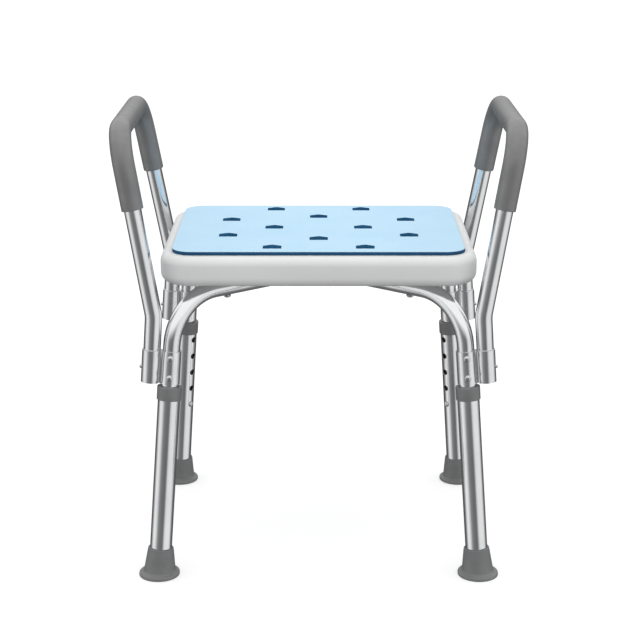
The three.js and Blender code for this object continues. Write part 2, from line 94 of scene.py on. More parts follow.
def addCamera():
    lens = bpy.data.cameras.new("studioCamera")
    lens.sensor_width = camera["sensor"]
    lens.lens = camera["lens"]
    lens.shift_x = camera["shift"]
    view = bpy.data.objects.new("studioCamera", lens)
    view.location = (0, -camera["distance"], camera["height"])
    view.rotation_euler = (math.radians(90 - camera["tilt"]), 0, 0)
    scene.collection.objects.link(view)
    scene.camera = view


addCamera()
print("camera placed")


# Frames of the corners: Z up the tube, X the way its button points.
def frameOn(origin, zAxis, xAxis):
    z = Vector(zAxis).normalized()
    y = z.cross(Vector(xAxis)).normalized()
    turn = Matrix((y.cross(z), y, z)).transposed().to_4x4()
    return Matrix.Translation(origin) @ turn


def extentIn(node, place):
    inverse = place.inverted()
    points = [inverse @ vertex.co for vertex in frame["nodes"][node].data.vertices]
    low = Vector([min(point[axis] for point in points) for axis in range(3)])
    high = Vector([max(point[axis] for point in points) for axis in range(3)])
    return low, high


def sideOf(corner):
    return corner.split("_")[1]


def signsOf(corner):
    return (1 if "right" in corner else -1), (1 if "rear" in corner else -1)


footPlaces = {mount["name"]: Vector(mount["pos_m"]) for mount in record["mounts"]}
legFrames, sleeveFrames, bracketMiddles = {}, {}, {}
for corner in cornerNames:
    legAxis = -Vector(joints["leg_height_" + corner]["axis"])
    legButtonOut = -Vector(joints["leg_button_press_" + corner]["axis"])
    legFrames[corner] = frameOn(footPlaces["floor_rest_" + corner], legAxis, legButtonOut)
    low, high = extentIn("twin_bracket_" + corner, legFrames[corner])
    bracketMiddles[corner] = (low.z + high.z) / 2
    onLegAxis = legFrames[corner] @ Vector((0, 0, bracketMiddles[corner]))
    armUp = Vector(joints["arm_lift_" + sideOf(corner)]["axis"])
    armButtonOut = -Vector(joints["arm_button_press_" + corner]["axis"])
    outward = Vector((signsOf(corner)[0] * fit["sleeveSpacing"], 0, 0))
    sleeveFrames[corner] = frameOn(onLegAxis + outward, armUp, armButtonOut)
print("corner frames worked out")


# Node helpers, for materials and for geometry trees alike.
def addNode(tree, kind, values=None, **settings):
    made = tree.nodes.new(kind)
    for name, value in settings.items():
        setattr(made, name, value)
    for key, value in (values or {}).items():
        if isinstance(value, bpy.types.NodeSocket):
            tree.links.new(value, made.inputs[key])
        else:
            made.inputs[key].default_value = value
    return made


def noiseNode(tree, place, scale, detail=3.0, roughness=0.5):
    values = {"Vector": place, "Scale": scale, "Detail": detail, "Roughness": roughness}
    return addNode(tree, "ShaderNodeTexNoise", values)


def rangeNode(tree, value, fromLow, fromHigh, toLow, toHigh):
    values = {"Value": value, "From Min": fromLow, "From Max": fromHigh}
    values.update({"To Min": toLow, "To Max": toHigh})
    return addNode(tree, "ShaderNodeMapRange", values).outputs["Result"]


def mixColours(tree, share, first, second):
    values = {0: share, 6: first, 7: second}
    return addNode(tree, "ShaderNodeMix", values, data_type="RGBA").outputs[2]


def rgb(red, green, blue):
    return (red, green, blue, 1.0)


# One recipe for every finish: two shades in soft patches, a fine grain in the bump,
# roughness that wanders, and pores, streaks or dust where the finish has them.
def finishMaterial(name, look):
    material = bpy.data.materials.new(name)
    material.use_nodes = True
    tree = material.node_tree
    tree.nodes.clear()
    if "attribute" in look:
        stored = addNode(tree, "ShaderNodeAttribute", attribute_name=look["attribute"])
        source = stored.outputs["Vector"]
    else:
        source = addNode(tree, "ShaderNodeTexCoord").outputs["Object"]
    stretch = look.get("stretch", (1, 1, 1))
    place = addNode(tree, "ShaderNodeMapping", {"Vector": source, "Scale": stretch}).outputs["Vector"]
    patches = noiseNode(tree, source, look["patchScale"], 4.0).outputs["Fac"]
    patchShare = rangeNode(tree, patches, 0.35, 0.65, 0.0, 1.0)
    colour = mixColours(tree, patchShare, rgb(*look["colour"]), rgb(*look["shade"]))
    grain = noiseNode(tree, place, look["grainScale"], 2.0, 0.6).outputs["Fac"]
    height = grain
    if "poreScale" in look:
        pores = addNode(tree, "ShaderNodeTexVoronoi", {"Vector": source, "Scale": look["poreScale"]})
        poreEdge = rangeNode(tree, pores.outputs["Distance"], 0.1, 0.45, 0.0, 1.0)
        poreShare = rangeNode(tree, poreEdge, 0.0, 1.0, look["poreTint"], 0.0)
        colour = mixColours(tree, poreShare, colour, rgb(*look["poreColour"]))
        height = addNode(tree, "ShaderNodeMath", {0: grain, 1: poreEdge}, operation="ADD").outputs[0]
    if "dustHeight" in look:
        heightAbove = addNode(tree, "ShaderNodeSeparateXYZ", {0: source}).outputs["Z"]
        low = rangeNode(tree, heightAbove, 0.0, look["dustHeight"], look["dustShare"], 0.0)
        dust = addNode(tree, "ShaderNodeMath", {0: low, 1: patches}, operation="MULTIPLY").outputs[0]
        colour = mixColours(tree, dust, colour, rgb(*look["dustColour"]))
    if "scuffScale" in look:
        scuffs = noiseNode(tree, place, look["scuffScale"], 6.0, 0.7).outputs["Fac"]
        scuffShare = rangeNode(tree, scuffs, 0.62, 0.74, 0.0, look["scuffShare"])
        colour = mixColours(tree, scuffShare, colour, rgb(*look["scuffColour"]))
    wander = noiseNode(tree, place, look["glossScale"], 3.0).outputs["Fac"]
    roughness = rangeNode(tree, wander, 0.3, 0.7, *look["roughness"])
    bumpValues = {"Height": height, "Strength": look["bumpStrength"], "Distance": look["bumpDepth"]}
    bump = addNode(tree, "ShaderNodeBump", bumpValues)
    values = {"Base Color": colour, "Roughness": roughness, "Normal": bump.outputs["Normal"]}
    values.update({"Metallic": look.get("metallic", 0.0), "Specular IOR Level": look.get("specular", 0.5)})
    shader = addNode(tree, "ShaderNodeBsdfPrincipled", values)
    addNode(tree, "ShaderNodeOutputMaterial", {"Surface": shader.outputs["BSDF"]})
    return material


# What the two dark cut foams have in common.
cutFoam = {
    "patchScale": 60.0,
    "grainScale": 2600.0,
    "poreScale": 1500.0,
    "glossScale": 200.0,
    "roughness": (0.8, 0.95),
    "bumpStrength": 0.6,
    "bumpDepth": 0.2 * mm,
    "specular": 0.2,
}
finishes = {
    "seatPlastic": {
        "colour": (0.865, 0.87, 0.87),
        "shade": (0.83, 0.835, 0.837),
        "patchScale": 9.0,
        "grainScale": 1400.0,
        "glossScale": 60.0,
        "roughness": (0.38, 0.52),
        "bumpStrength": 0.25,
        "bumpDepth": 0.12 * mm,
        "scuffScale": 45.0,
        "scuffShare": 0.12,
        "scuffColour": (0.62, 0.62, 0.61),
    },
    "padFoam": {
        "colour": (0.53, 0.76, 0.93),
        "shade": (0.50, 0.735, 0.915),
        "patchScale": 14.0,
        "grainScale": 2400.0,
        "poreScale": 900.0,
        "poreTint": 0.10,
        "poreColour": (0.36, 0.62, 0.84),
        "glossScale": 120.0,
        "roughness": (0.62, 0.78),
        "bumpStrength": 0.35,
        "bumpDepth": 0.15 * mm,
        "specular": 0.3,
    },
    "padSlotFoam": {
        **cutFoam,
        "colour": (0.022, 0.135, 0.29),
        "shade": (0.03, 0.16, 0.33),
        "poreTint": 0.4,
        "poreColour": (0.012, 0.075, 0.18),
    },
    "padCutFoam": {
        **cutFoam,
        "colour": (0.016, 0.085, 0.19),
        "shade": (0.024, 0.11, 0.235),
        "poreTint": 0.5,
        "poreColour": (0.008, 0.045, 0.11),
    },
    "polishedTube": {
        "attribute": "tubePlace",
        "stretch": (1.0, 1.0, 0.012),
        "colour": (0.83, 0.84, 0.85),
        "shade": (0.78, 0.79, 0.805),
        "patchScale": 22.0,
        "grainScale": 1600.0,
        "glossScale": 500.0,
        "roughness": (0.13, 0.2),
        "bumpStrength": 0.08,
        "bumpDepth": 0.05 * mm,
        "metallic": 1.0,
        "scuffScale": 900.0,
        "scuffShare": 0.2,
        "scuffColour": (0.66, 0.67, 0.68),
    },
    # Painted shade: the dark colour the bow tubes get behind the leg holes, so that the holes look black.
    "dulledTube": {
        "attribute": "tubePlace",
        "stretch": (1.0, 1.0, 0.05),
        "colour": (0.10, 0.10, 0.102),
        "shade": (0.07, 0.07, 0.072),
        "patchScale": 60.0,
        "grainScale": 1600.0,
        "glossScale": 400.0,
        "roughness": (0.45, 0.6),
        "bumpStrength": 0.1,
        "bumpDepth": 0.05 * mm,
        "metallic": 0.6,
    },
    "satinExtrusion": {
        "stretch": (1.0, 1.0, 0.02),
        "colour": (0.84, 0.85, 0.86),
        "shade": (0.78, 0.79, 0.80),
        "patchScale": 40.0,
        "grainScale": 2200.0,
        "glossScale": 700.0,
        "roughness": (0.18, 0.26),
        "bumpStrength": 0.12,
        "bumpDepth": 0.05 * mm,
        "metallic": 1.0,
    },
    "stainlessSteel": {
        "colour": (0.66, 0.665, 0.67),
        "shade": (0.58, 0.585, 0.59),
        "patchScale": 180.0,
        "grainScale": 3000.0,
        "glossScale": 900.0,
        "roughness": (0.18, 0.34),
        "bumpStrength": 0.15,
        "bumpDepth": 0.04 * mm,
        "metallic": 1.0,
    },
    "springSteel": {
        "stretch": (1.0, 1.0, 0.1),
        "colour": (0.6, 0.6, 0.59),
        "shade": (0.5, 0.5, 0.5),
        "patchScale": 200.0,
        "grainScale": 3000.0,
        "glossScale": 900.0,
        "roughness": (0.22, 0.36),
        "bumpStrength": 0.15,
        "bumpDepth": 0.04 * mm,
        "metallic": 1.0,
    },
    "greyPlastic": {
        "colour": (0.212, 0.214, 0.217),
        "shade": (0.192, 0.194, 0.197),
        "patchScale": 70.0,
        "grainScale": 2200.0,
        "glossScale": 300.0,
        "roughness": (0.36, 0.48),
        "bumpStrength": 0.25,
        "bumpDepth": 0.08 * mm,
        "scuffScale": 160.0,
        "scuffShare": 0.25,
        "scuffColour": (0.24, 0.24, 0.245),
    },
    "greyRubber": {
        "colour": (0.190, 0.193, 0.195),
        "shade": (0.168, 0.171, 0.174),
        "patchScale": 55.0,
        "grainScale": 1800.0,
        "glossScale": 220.0,
        "roughness": (0.4, 0.56),
        "bumpStrength": 0.35,
        "bumpDepth": 0.1 * mm,
        "dustHeight": 0.012,
        "dustShare": 0.45,
        "dustColour": (0.30, 0.295, 0.285),
    },
    "greyFoam": {
        "colour": (0.212, 0.212, 0.213),
        "shade": (0.184, 0.185, 0.187),
        "patchScale": 45.0,
        "grainScale": 1700.0,
        "poreScale": 1300.0,
        "poreTint": 0.22,
        "poreColour": (0.085, 0.085, 0.087),
        "glossScale": 90.0,
        "roughness": (0.3, 0.42),
        "bumpStrength": 0.25,
        "bumpDepth": 0.12 * mm,
        "specular": 0.9,
    },
}
materials = {name: finishMaterial(name, look) for name, look in finishes.items()}
print("materials made:", len(materials))


# Mesh helpers.
drillSides = 28


def pieceFrom(name, vertices, faces, place=None):
    mesh = bpy.data.meshes.new(name)
    mesh.from_pydata([tuple(vertex) for vertex in vertices], [], faces)
    piece = bpy.data.objects.new(name, mesh)
    scene.collection.objects.link(piece)
    if place is not None:
        mesh.transform(place)
    tidyMesh(piece)
    return piece


# Merges doubles and turns every face outwards; curved runs shade smooth, real edges stay crisp.
def tidyMesh(piece, mergeWithin=0.002 * mm, crispAbove=34):
    body = bmesh.new()
    body.from_mesh(piece.data)
    bmesh.ops.remove_doubles(body, verts=body.verts, dist=mergeWithin)
    bmesh.ops.dissolve_degenerate(body, edges=body.edges, dist=mergeWithin)
    bmesh.ops.recalc_face_normals(body, faces=body.faces)
    body.to_mesh(piece.data)
    body.free()
    piece.data.shade_smooth()
    piece.data.set_sharp_from_angle(angle=math.radians(crispAbove))
    piece.data.update()


# Shades walls that are round about the given axes as true cylinders, however they were cut.
def roundNormals(piece, axisPlaces, radii, within=0.05 * mm):
    mesh = piece.data
    normals = [Vector(corner.vector) for corner in mesh.corner_normals]
    inverses = [place.inverted() for place in axisPlaces]
    for face in mesh.polygons:
        for place, inverse in zip(axisPlaces, inverses):
            middle = inverse @ face.center
            outwards = (place.to_3x3() @ Vector((middle.x, middle.y, 0))).normalized()
            facing = outwards.dot(face.normal)
            reaches = [(inverse @ mesh.vertices[index].co).xy.length for index in face.vertices]
            isRound = any(all(abs(reach - radius) < within for reach in reaches) for radius in radii)
            if abs(facing) < 0.5 or not isRound:
                continue
            for loop in face.loop_indices:
                corner = inverse @ mesh.vertices[mesh.loops[loop].vertex_index].co
                radial = place.to_3x3() @ Vector((corner.x, corner.y, 0))
                normals[loop] = radial.normalized() * (1 if facing > 0 else -1)
    mesh.normals_split_custom_set([tuple(normal) for normal in normals])


# Gives the piece the mesh that its modifiers make, and takes the modifiers off.
def settle(piece):
    depsgraph = bpy.context.evaluated_depsgraph_get()
    depsgraph.update()
    evaluated = piece.evaluated_get(depsgraph)
    mesh = bpy.data.meshes.new_from_object(evaluated, preserve_all_data_layers=True, depsgraph=depsgraph)
    piece.modifiers.clear()
    piece.data = mesh
    mesh.name = piece.name


def carve(piece, cutter, operation="DIFFERENCE"):
    modifier = piece.modifiers.new("carve", "BOOLEAN")
    modifier.object = cutter
    modifier.operation = operation
    modifier.solver = "EXACT"
    modifier.material_mode = "TRANSFER"
    settle(piece)
    bpy.data.objects.remove(cutter)


def bevelEdges(piece, width, segments, above=50):
    modifier = piece.modifiers.new("lips", "BEVEL")
    modifier.width = width
    modifier.segments = segments
    modifier.limit_method = "ANGLE"
    modifier.angle_limit = math.radians(above)
    modifier.harden_normals = False
    settle(piece)


# Rounds the corners of a flat outline; radii is one radius or one for each corner.
def rounded(points, radii, steps=6, closed=True):
    points = [Vector(point) for point in points]
    count = len(points)
    if not hasattr(radii, "__len__"):
        radii = [radii] * count
    outline = []
    for i, point in enumerate(points):
        isEnd = not closed and i in (0, count - 1)
        if isEnd or radii[i] <= 0:
            outline.append(point)
            continue
        back = points[i - 1] - point
        ahead = points[(i + 1) % count] - point
        half = back.angle(ahead) / 2
        reach = min(radii[i] / math.tan(half), 0.49 * back.length, 0.49 * ahead.length)
        radius = reach * math.tan(half)
        start = point + back.normalized() * reach
        middle = (back.normalized() + ahead.normalized()).normalized()
        centre = point + middle * (radius / math.sin(half))
        arm = start - centre
        turn = math.pi - 2 * half
        sense = 1 if back.cross(ahead) < 0 else -1
        for step in range(steps + 1):
            angle = sense * turn * step / steps
            cosine, sine = math.cos(angle), math.sin(angle)
            outline.append(centre + Vector((arm.x * cosine - arm.y * sine, arm.x * sine + arm.y * cosine)))
    return outline


# Turns a profile of (radius, height) points round Z. A closed profile makes a ring-shaped body.
def turned(name, profile, sides=64, closed=False, place=None, ringPlace=None):
    vertices, rings = [], []
    for radius, height in profile:
        rings.append((len(vertices), radius > 1e-7))
        turnsAt = ringPlace(height, radius) if ringPlace else Matrix.Translation((0, 0, height))
        for side in range(sides if radius > 1e-7 else 1):
            angle = 2 * math.pi * side / sides
            vertices.append(turnsAt @ Vector((radius * math.cos(angle), radius * math.sin(angle), 0)))
    faces = []
    spans = list(zip(rings, rings[1:] + ([rings[0]] if closed else [])))
    for (low, lowRound), (high, highRound) in spans:
        for side in range(sides):
            ahead = (side + 1) % sides
            lower = [low + side, low + ahead] if lowRound else [low]
            upper = [high + ahead, high + side] if highRound else [high]
            if len(lower) + len(upper) > 2:
                faces.append(lower + upper)
    return pieceFrom(name, vertices, faces, place)


def squareOutline(half):
    return [(-half, -half), (half, -half), (half, half), (-half, half)]


def prism(name, outline, low, high, place=None):
    count = len(outline)
    vertices = [(x, y, low) for x, y in outline] + [(x, y, high) for x, y in outline]
    faces = [list(range(count))[::-1], list(range(count, 2 * count))]
    faces += [[i, (i + 1) % count, count + (i + 1) % count, count + i] for i in range(count)]
    return pieceFrom(name, vertices, faces, place)


# A slab lofted through levels of (inset, height), with rounded corners in plan.
def loftedSlab(name, width, depth, cornerRadius, levels, cornerSteps=14):
    rings = []
    for inset, height in levels:
        half = Vector((width / 2 - inset, depth / 2 - inset))
        square = [(half.x, -half.y), (half.x, half.y), (-half.x, half.y), (-half.x, -half.y)]
        radius = max(cornerRadius - inset, 0.5 * mm)
        rings.append([(x, y, height) for x, y in rounded(square, radius, cornerSteps)])
    count = len(rings[0])
    vertices = [point for ring in rings for point in ring]
    top = len(vertices) - count
    faces = [list(range(count))[::-1], list(range(top, top + count))]
    for level in range(len(rings) - 1):
        low, high = level * count, (level + 1) * count
        for i in range(count):
            ahead = (i + 1) % count
            faces.append([low + i, low + ahead, high + ahead, high + i])
    return pieceFrom(name, vertices, faces)


def give(piece, *names):
    piece.data.materials.clear()
    for name in names:
        piece.data.materials.append(materials[name])


def finishPiece(piece, body, slotName, *nodes):
    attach(piece, body)
    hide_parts(*nodes)
    return piece


# Geometry trees.
def newTree(name, inputs):
    tree = bpy.data.node_groups.new(name, "GeometryNodeTree")
    tree.is_modifier = True
    for label, kind in inputs:
        tree.interface.new_socket(name=label, in_out="INPUT", socket_type="NodeSocket" + kind)
    tree.interface.new_socket(name="Geometry", in_out="OUTPUT", socket_type="NodeSocketGeometry")
    return tree, addNode(tree, "NodeGroupInput"), addNode(tree, "NodeGroupOutput")


def grow(piece, tree, values):
    modifier = piece.modifiers.new(tree.name, "NODES")
    modifier.node_group = tree
    for item in tree.interface.items_tree:
        if item.item_type == "SOCKET" and item.in_out == "INPUT" and item.name in values:
            modifier[item.identifier] = values[item.name]
    settle(piece)


def finishTree(tree, end, geometry, material):
    real = addNode(tree, "GeometryNodeRealizeInstances", {"Geometry": geometry})
    painted = addNode(tree, "GeometryNodeSetMaterial", {"Geometry": real.outputs[0], "Material": material})
    tree.links.new(painted.outputs[0], end.inputs[0])


# A round tube along a chain of points; each point's bendRadius rounds the path there. Every
# point keeps tubePlace: its place across the tube and its distance along it.
def bentTubeTree():
    inputs = [("Geometry", "Geometry"), ("Diameter", "Float"), ("Sides", "Int")]
    inputs += [("Bend Steps", "Int"), ("Material", "Material")]
    tree, start, end = newTree("bentTube", inputs)
    chain = addNode(tree, "GeometryNodeMeshToCurve", {"Mesh": start.outputs["Geometry"]})
    radius = addNode(tree, "GeometryNodeInputNamedAttribute", {"Name": "bendRadius"}, data_type="FLOAT")
    filleted = addNode(tree, "GeometryNodeFilletCurve", mode="POLY")
    tree.links.new(chain.outputs[0], filleted.inputs["Curve"])
    tree.links.new(start.outputs["Bend Steps"], filleted.inputs["Count"])
    tree.links.new(radius.outputs["Attribute"], filleted.inputs["Radius"])
    along = addNode(tree, "GeometryNodeSplineParameter")
    pathMemo = addNode(tree, "GeometryNodeCaptureAttribute", domain="POINT")
    pathMemo.capture_items.new("FLOAT", "Distance")
    tree.links.new(filleted.outputs[0], pathMemo.inputs["Geometry"])
    tree.links.new(along.outputs["Length"], pathMemo.inputs["Distance"])
    half = addNode(tree, "ShaderNodeMath", {0: start.outputs["Diameter"], 1: 0.5}, operation="MULTIPLY")
    circleValues = {"Resolution": start.outputs["Sides"], "Radius": half.outputs[0]}
    circle = addNode(tree, "GeometryNodeCurvePrimitiveCircle", circleValues)
    across = addNode(tree, "GeometryNodeInputPosition")
    circleMemo = addNode(tree, "GeometryNodeCaptureAttribute", domain="POINT")
    circleMemo.capture_items.new("VECTOR", "Across")
    tree.links.new(circle.outputs[0], circleMemo.inputs["Geometry"])
    tree.links.new(across.outputs[0], circleMemo.inputs["Across"])
    sweep = addNode(tree, "GeometryNodeCurveToMesh")
    tree.links.new(pathMemo.outputs["Geometry"], sweep.inputs["Curve"])
    tree.links.new(circleMemo.outputs["Geometry"], sweep.inputs["Profile Curve"])
    parts = addNode(tree, "ShaderNodeSeparateXYZ", {0: circleMemo.outputs["Across"]})
    values = {"X": parts.outputs["X"], "Y": parts.outputs["Y"], "Z": pathMemo.outputs["Distance"]}
    tubePlace = addNode(tree, "ShaderNodeCombineXYZ", values)
    stored = addNode(tree, "GeometryNodeStoreNamedAttribute", data_type="FLOAT_VECTOR", domain="POINT")
    tree.links.new(sweep.outputs[0], stored.inputs["Geometry"])
    stored.inputs["Name"].default_value = "tubePlace"
    tree.links.new(tubePlace.outputs[0], stored.inputs["Value"])
    finishTree(tree, end, stored.outputs[0], start.outputs["Material"])
    return tree


# A straight tube up Z with one row of holes through its +X wall.
def drilledTubeTree():
    inputs = [("Diameter", "Float"), ("Wall", "Float"), ("Bottom", "Float"), ("Top", "Float")]
    inputs += [("Hole Diameter", "Float"), ("Lowest Hole", "Float"), ("Pitch", "Float")]
    inputs += [("Holes", "Int"), ("Sides", "Int"), ("Material", "Material")]
    tree, start, end = newTree("drilledTube", inputs)

    def maths(operation, first, second):
        return addNode(tree, "ShaderNodeMath", {0: first, 1: second}, operation=operation).outputs[0]

    length = maths("SUBTRACT", start.outputs["Top"], start.outputs["Bottom"])
    centre = maths("MULTIPLY", maths("ADD", start.outputs["Top"], start.outputs["Bottom"]), 0.5)
    radius = maths("MULTIPLY", start.outputs["Diameter"], 0.5)
    lift = addNode(tree, "ShaderNodeCombineXYZ", {"Z": centre}).outputs[0]

    def barrel(barrelRadius, barrelLength):
        values = {"Vertices": start.outputs["Sides"], "Radius": barrelRadius, "Depth": barrelLength}
        cylinder = addNode(tree, "GeometryNodeMeshCylinder", values, fill_type="NGON")
        liftValues = {"Geometry": cylinder.outputs["Mesh"], "Translation": lift}
        return addNode(tree, "GeometryNodeTransform", liftValues).outputs[0]

    outside = barrel(radius, length)
    inside = barrel(maths("SUBTRACT", radius, start.outputs["Wall"]), maths("MULTIPLY", length, 1.1))
    firstHole = addNode(tree, "ShaderNodeCombineXYZ", {"X": radius, "Z": start.outputs["Lowest Hole"]})
    step = addNode(tree, "ShaderNodeCombineXYZ", {"Z": start.outputs["Pitch"]})
    lineValues = {"Count": start.outputs["Holes"], "Start Location": firstHole.outputs[0]}
    lineValues["Offset"] = step.outputs[0]
    row = addNode(tree, "GeometryNodeMeshLine", lineValues, mode="OFFSET")
    holeRadius = maths("MULTIPLY", start.outputs["Hole Diameter"], 0.5)
    drillValues = {"Vertices": drillSides, "Radius": holeRadius, "Depth": radius}
    drill = addNode(tree, "GeometryNodeMeshCylinder", drillValues, fill_type="NGON")
    lyingValues = {"Geometry": drill.outputs["Mesh"], "Rotation": (0, math.pi / 2, 0)}
    lying = addNode(tree, "GeometryNodeTransform", lyingValues)
    copyValues = {"Points": row.outputs["Mesh"], "Instance": lying.outputs[0]}
    drills = addNode(tree, "GeometryNodeInstanceOnPoints", copyValues)
    realDrills = addNode(tree, "GeometryNodeRealizeInstances", {"Geometry": drills.outputs[0]})
    carved = addNode(tree, "GeometryNodeMeshBoolean", operation="DIFFERENCE", solver="EXACT")
    tree.links.new(outside, carved.inputs["Mesh 1"])
    tree.links.new(inside, carved.inputs["Mesh 2"])
    tree.links.new(realDrills.outputs[0], carved.inputs["Mesh 2"])
    stored = addNode(tree, "GeometryNodeStoreNamedAttribute", data_type="FLOAT_VECTOR", domain="POINT")
    tree.links.new(carved.outputs["Mesh"], stored.inputs["Geometry"])
    stored.inputs["Name"].default_value = "tubePlace"
    position = addNode(tree, "GeometryNodeInputPosition")
    tree.links.new(position.outputs[0], stored.inputs["Value"])
    finishTree(tree, end, stored.outputs[0], start.outputs["Material"])
    return tree


# One copy of a master piece on each point, its Z turned to the point's facing direction.
def copiesTree():
    inputs = [("Geometry", "Geometry"), ("Master", "Object"), ("Scale", "Float"), ("Material", "Material")]
    tree, start, end = newTree("copiesOnPoints", inputs)
    masterValues = {"Object": start.outputs["Master"]}
    master = addNode(tree, "GeometryNodeObjectInfo", masterValues, transform_space="ORIGINAL")
    facing = addNode(tree, "GeometryNodeInputNamedAttribute", {"Name": "facing"}, data_type="FLOAT_VECTOR")
    turnValues = {"Vector": facing.outputs["Attribute"]}
    turn = addNode(tree, "FunctionNodeAlignRotationToVector", turnValues, axis="Z")
    points = addNode(tree, "GeometryNodeMeshToPoints", {"Mesh": start.outputs["Geometry"]})
    copies = addNode(tree, "GeometryNodeInstanceOnPoints")
    tree.links.new(points.outputs[0], copies.inputs["Points"])
    tree.links.new(master.outputs["Geometry"], copies.inputs["Instance"])
    tree.links.new(turn.outputs[0], copies.inputs["Rotation"])
    tree.links.new(start.outputs["Scale"], copies.inputs["Scale"])
    finishTree(tree, end, copies.outputs[0], start.outputs["Material"])
    return tree


bentTube = bentTubeTree()
drilledTube = drilledTubeTree()
copiesOnPoints = copiesTree()


def copiesOf(master, name, places, directions, finish):
    piece = pieceFrom(name, places, [])
    facing = piece.data.attributes.new("facing", "FLOAT_VECTOR", "POINT")
    facing.data.foreach_set("vector", [number for direction in directions for number in direction])
    grow(piece, copiesOnPoints, {"Master": master, "Scale": 1.0, "Material": materials[finish]})
    bpy.data.objects.remove(master)
    tidyMesh(piece)
    return piece


def tubeAlong(name, points, radii, outer, inner, finish, lip=0.35 * mm, lipSteps=2):
    mesh = bpy.data.meshes.new(name)
    links = [(i, i + 1) for i in range(len(points) - 1)]
    mesh.from_pydata([tuple(point) for point in points], links, [])
    bends = mesh.attributes.new("bendRadius", "FLOAT", "POINT")
    bends.data.foreach_set("value", [0.0, *radii, 0.0])
    piece = bpy.data.objects.new(name, mesh)
    scene.collection.objects.link(piece)
    values = {"Diameter": 2 * outer, "Sides": 56, "Bend Steps": 20, "Material": materials[finish]}
    grow(piece, bentTube, values)
    turnOutwards(piece, points[0], points[1])
    wall = piece.modifiers.new("wall", "SOLIDIFY")
    wall.thickness = outer - inner
    wall.offset = -1
    wall.use_even_offset = True
    settle(piece)
    bevelEdges(piece, lip, lipSteps)
    tidyMesh(piece)
    return piece


# Makes sure that the open skin of a tube faces away from its axis before it gets its wall.
def turnOutwards(piece, first, second):
    axis = (Vector(second) - Vector(first)).normalized()
    face = piece.data.polygons[0]
    offset = face.center - Vector(first)
    if (offset - axis * offset.dot(axis)).dot(face.normal) < 0:
        piece.data.flip_normals()


# Cylinders that drill holes; each is (place, radius, start, end) along its own Z.
def drillsAt(name, drills):
    vertices, faces = [], []
    for place, radius, low, high in drills:
        base = len(vertices)
        top = base + drillSides
        for height in (low, high):
            for side in range(drillSides):
                angle = 2 * math.pi * side / drillSides
                rim = Vector((radius * math.cos(angle), radius * math.sin(angle), height))
                vertices.append(place @ rim)
        for side in range(drillSides):
            ahead = (side + 1) % drillSides
            faces.append([base + side, base + ahead, top + ahead, top + side])
        faces.append([base + side for side in reversed(range(drillSides))])
        faces.append([top + side for side in range(drillSides)])
    return pieceFrom(name, vertices, faces)


# Turns that lay a piece made up Z along X, or along -Y.
facingX = Matrix.Rotation(math.pi / 2, 4, "Y")
lyingDown = Matrix.Rotation(math.pi / 2, 4, "X")
shellLow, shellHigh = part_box("seat_shell")
padLow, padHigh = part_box("seat_pad")
bowHeight = shellLow.z - fit["gap"] - fit["tubeRadius"]


def alongLeg(corner, distance, across=0.0):
    return legFrames[corner] @ Vector((across, 0, distance))


def alongSleeve(corner, distance):
    return sleeveFrames[corner] @ Vector((0, 0, distance))


def legAxisOf(corner):
    return legFrames[corner].col[2].to_3d()


# The height of a leg's button up the leg, and its place on the leg's axis.
def legButtonHeight(corner):
    low, high = extentIn("leg_button_" + corner, legFrames[corner])
    return (low.z + high.z) / 2


def legButtonPlace(corner):
    return legFrames[corner] @ Matrix.Translation((0, 0, legButtonHeight(corner)))


# Where a leg's axis meets the height of the bows.
def bowCornerOf(corner):
    axis = legAxisOf(corner)
    return legFrames[corner].translation + axis * (bowHeight / axis.z)


# Places and directions of the rivets: out of the bracket to the front or the back.
def rivetFrameOf(corner, distance):
    axis = legAxisOf(corner)
    side = axis.cross(Vector((0, signsOf(corner)[1], 0))).normalized()
    return frameOn(alongLeg(corner, distance), side.cross(axis), axis)


def rivetFramesOf(corner):
    distances = [bracketMiddles[corner] + side * fit["rivetPitch"] / 2 for side in (-1, 1)]
    return [rivetFrameOf(corner, distance) for distance in distances]


# Seat: moulded shell with drain slots, and the foam pad on top of it.
seat = {
    "cornerRadius": 42 * mm,
    "edgeRadius": 12.5 * mm,
    "padCornerRadius": 26 * mm,
    "padEdge": 0.7 * mm,
    "slotWidth": 24 * mm,
    "slotSide": 16 * mm,
    "slotPeak": 6.5 * mm,
    "slotRounding": 1.6 * mm,
    "sideInset": 68 * mm,
    "endInset": 25 * mm,
    "outerRow": 0.41,
    "centreRow": 0.58,
    "ventRadius": 3 * mm,
    "ventDepth": 6 * mm,
    "ventInset": 52 * mm,
    "standOff": 2 * mm,
    "bossRadius": 7.5 * mm,
    "bossDepth": 6 * mm,
    "bossEdge": 0.8 * mm,
    "pilotDepth": 28 * mm,
    "cutPast": 5 * mm,
}


def slotPlaces():
    outerX = padHigh.x - seat["sideInset"]
    outerY = padHigh.y - seat["endInset"]
    centreRow, outerRow = seat["centreRow"], seat["outerRow"]
    rows = {0: (-centreRow, centreRow), 1: (-1, 0, 1), 2: (-outerRow, outerRow)}
    places = []
    for column in range(-2, 3):
        places += [(column * outerX / 2, row * outerY, 0) for row in rows[abs(column)]]
    return places


def slotCutter(bottom, top, finish):
    low, high = bottom - seat["cutPast"], top + seat["cutPast"]
    half, side = seat["slotWidth"] / 2, seat["slotSide"] / 2
    outline = [(-half, -side), (half, -side), (half, side), (0, side + seat["slotPeak"]), (-half, side)]
    radius = seat["slotRounding"]
    outline = rounded(outline, [radius, radius, radius, 3 * radius, radius], 5)
    master = prism("slotMaster", outline, low, high)
    places = slotPlaces()
    return copiesOf(master, "slotCutter", places, [up] * len(places), finish)


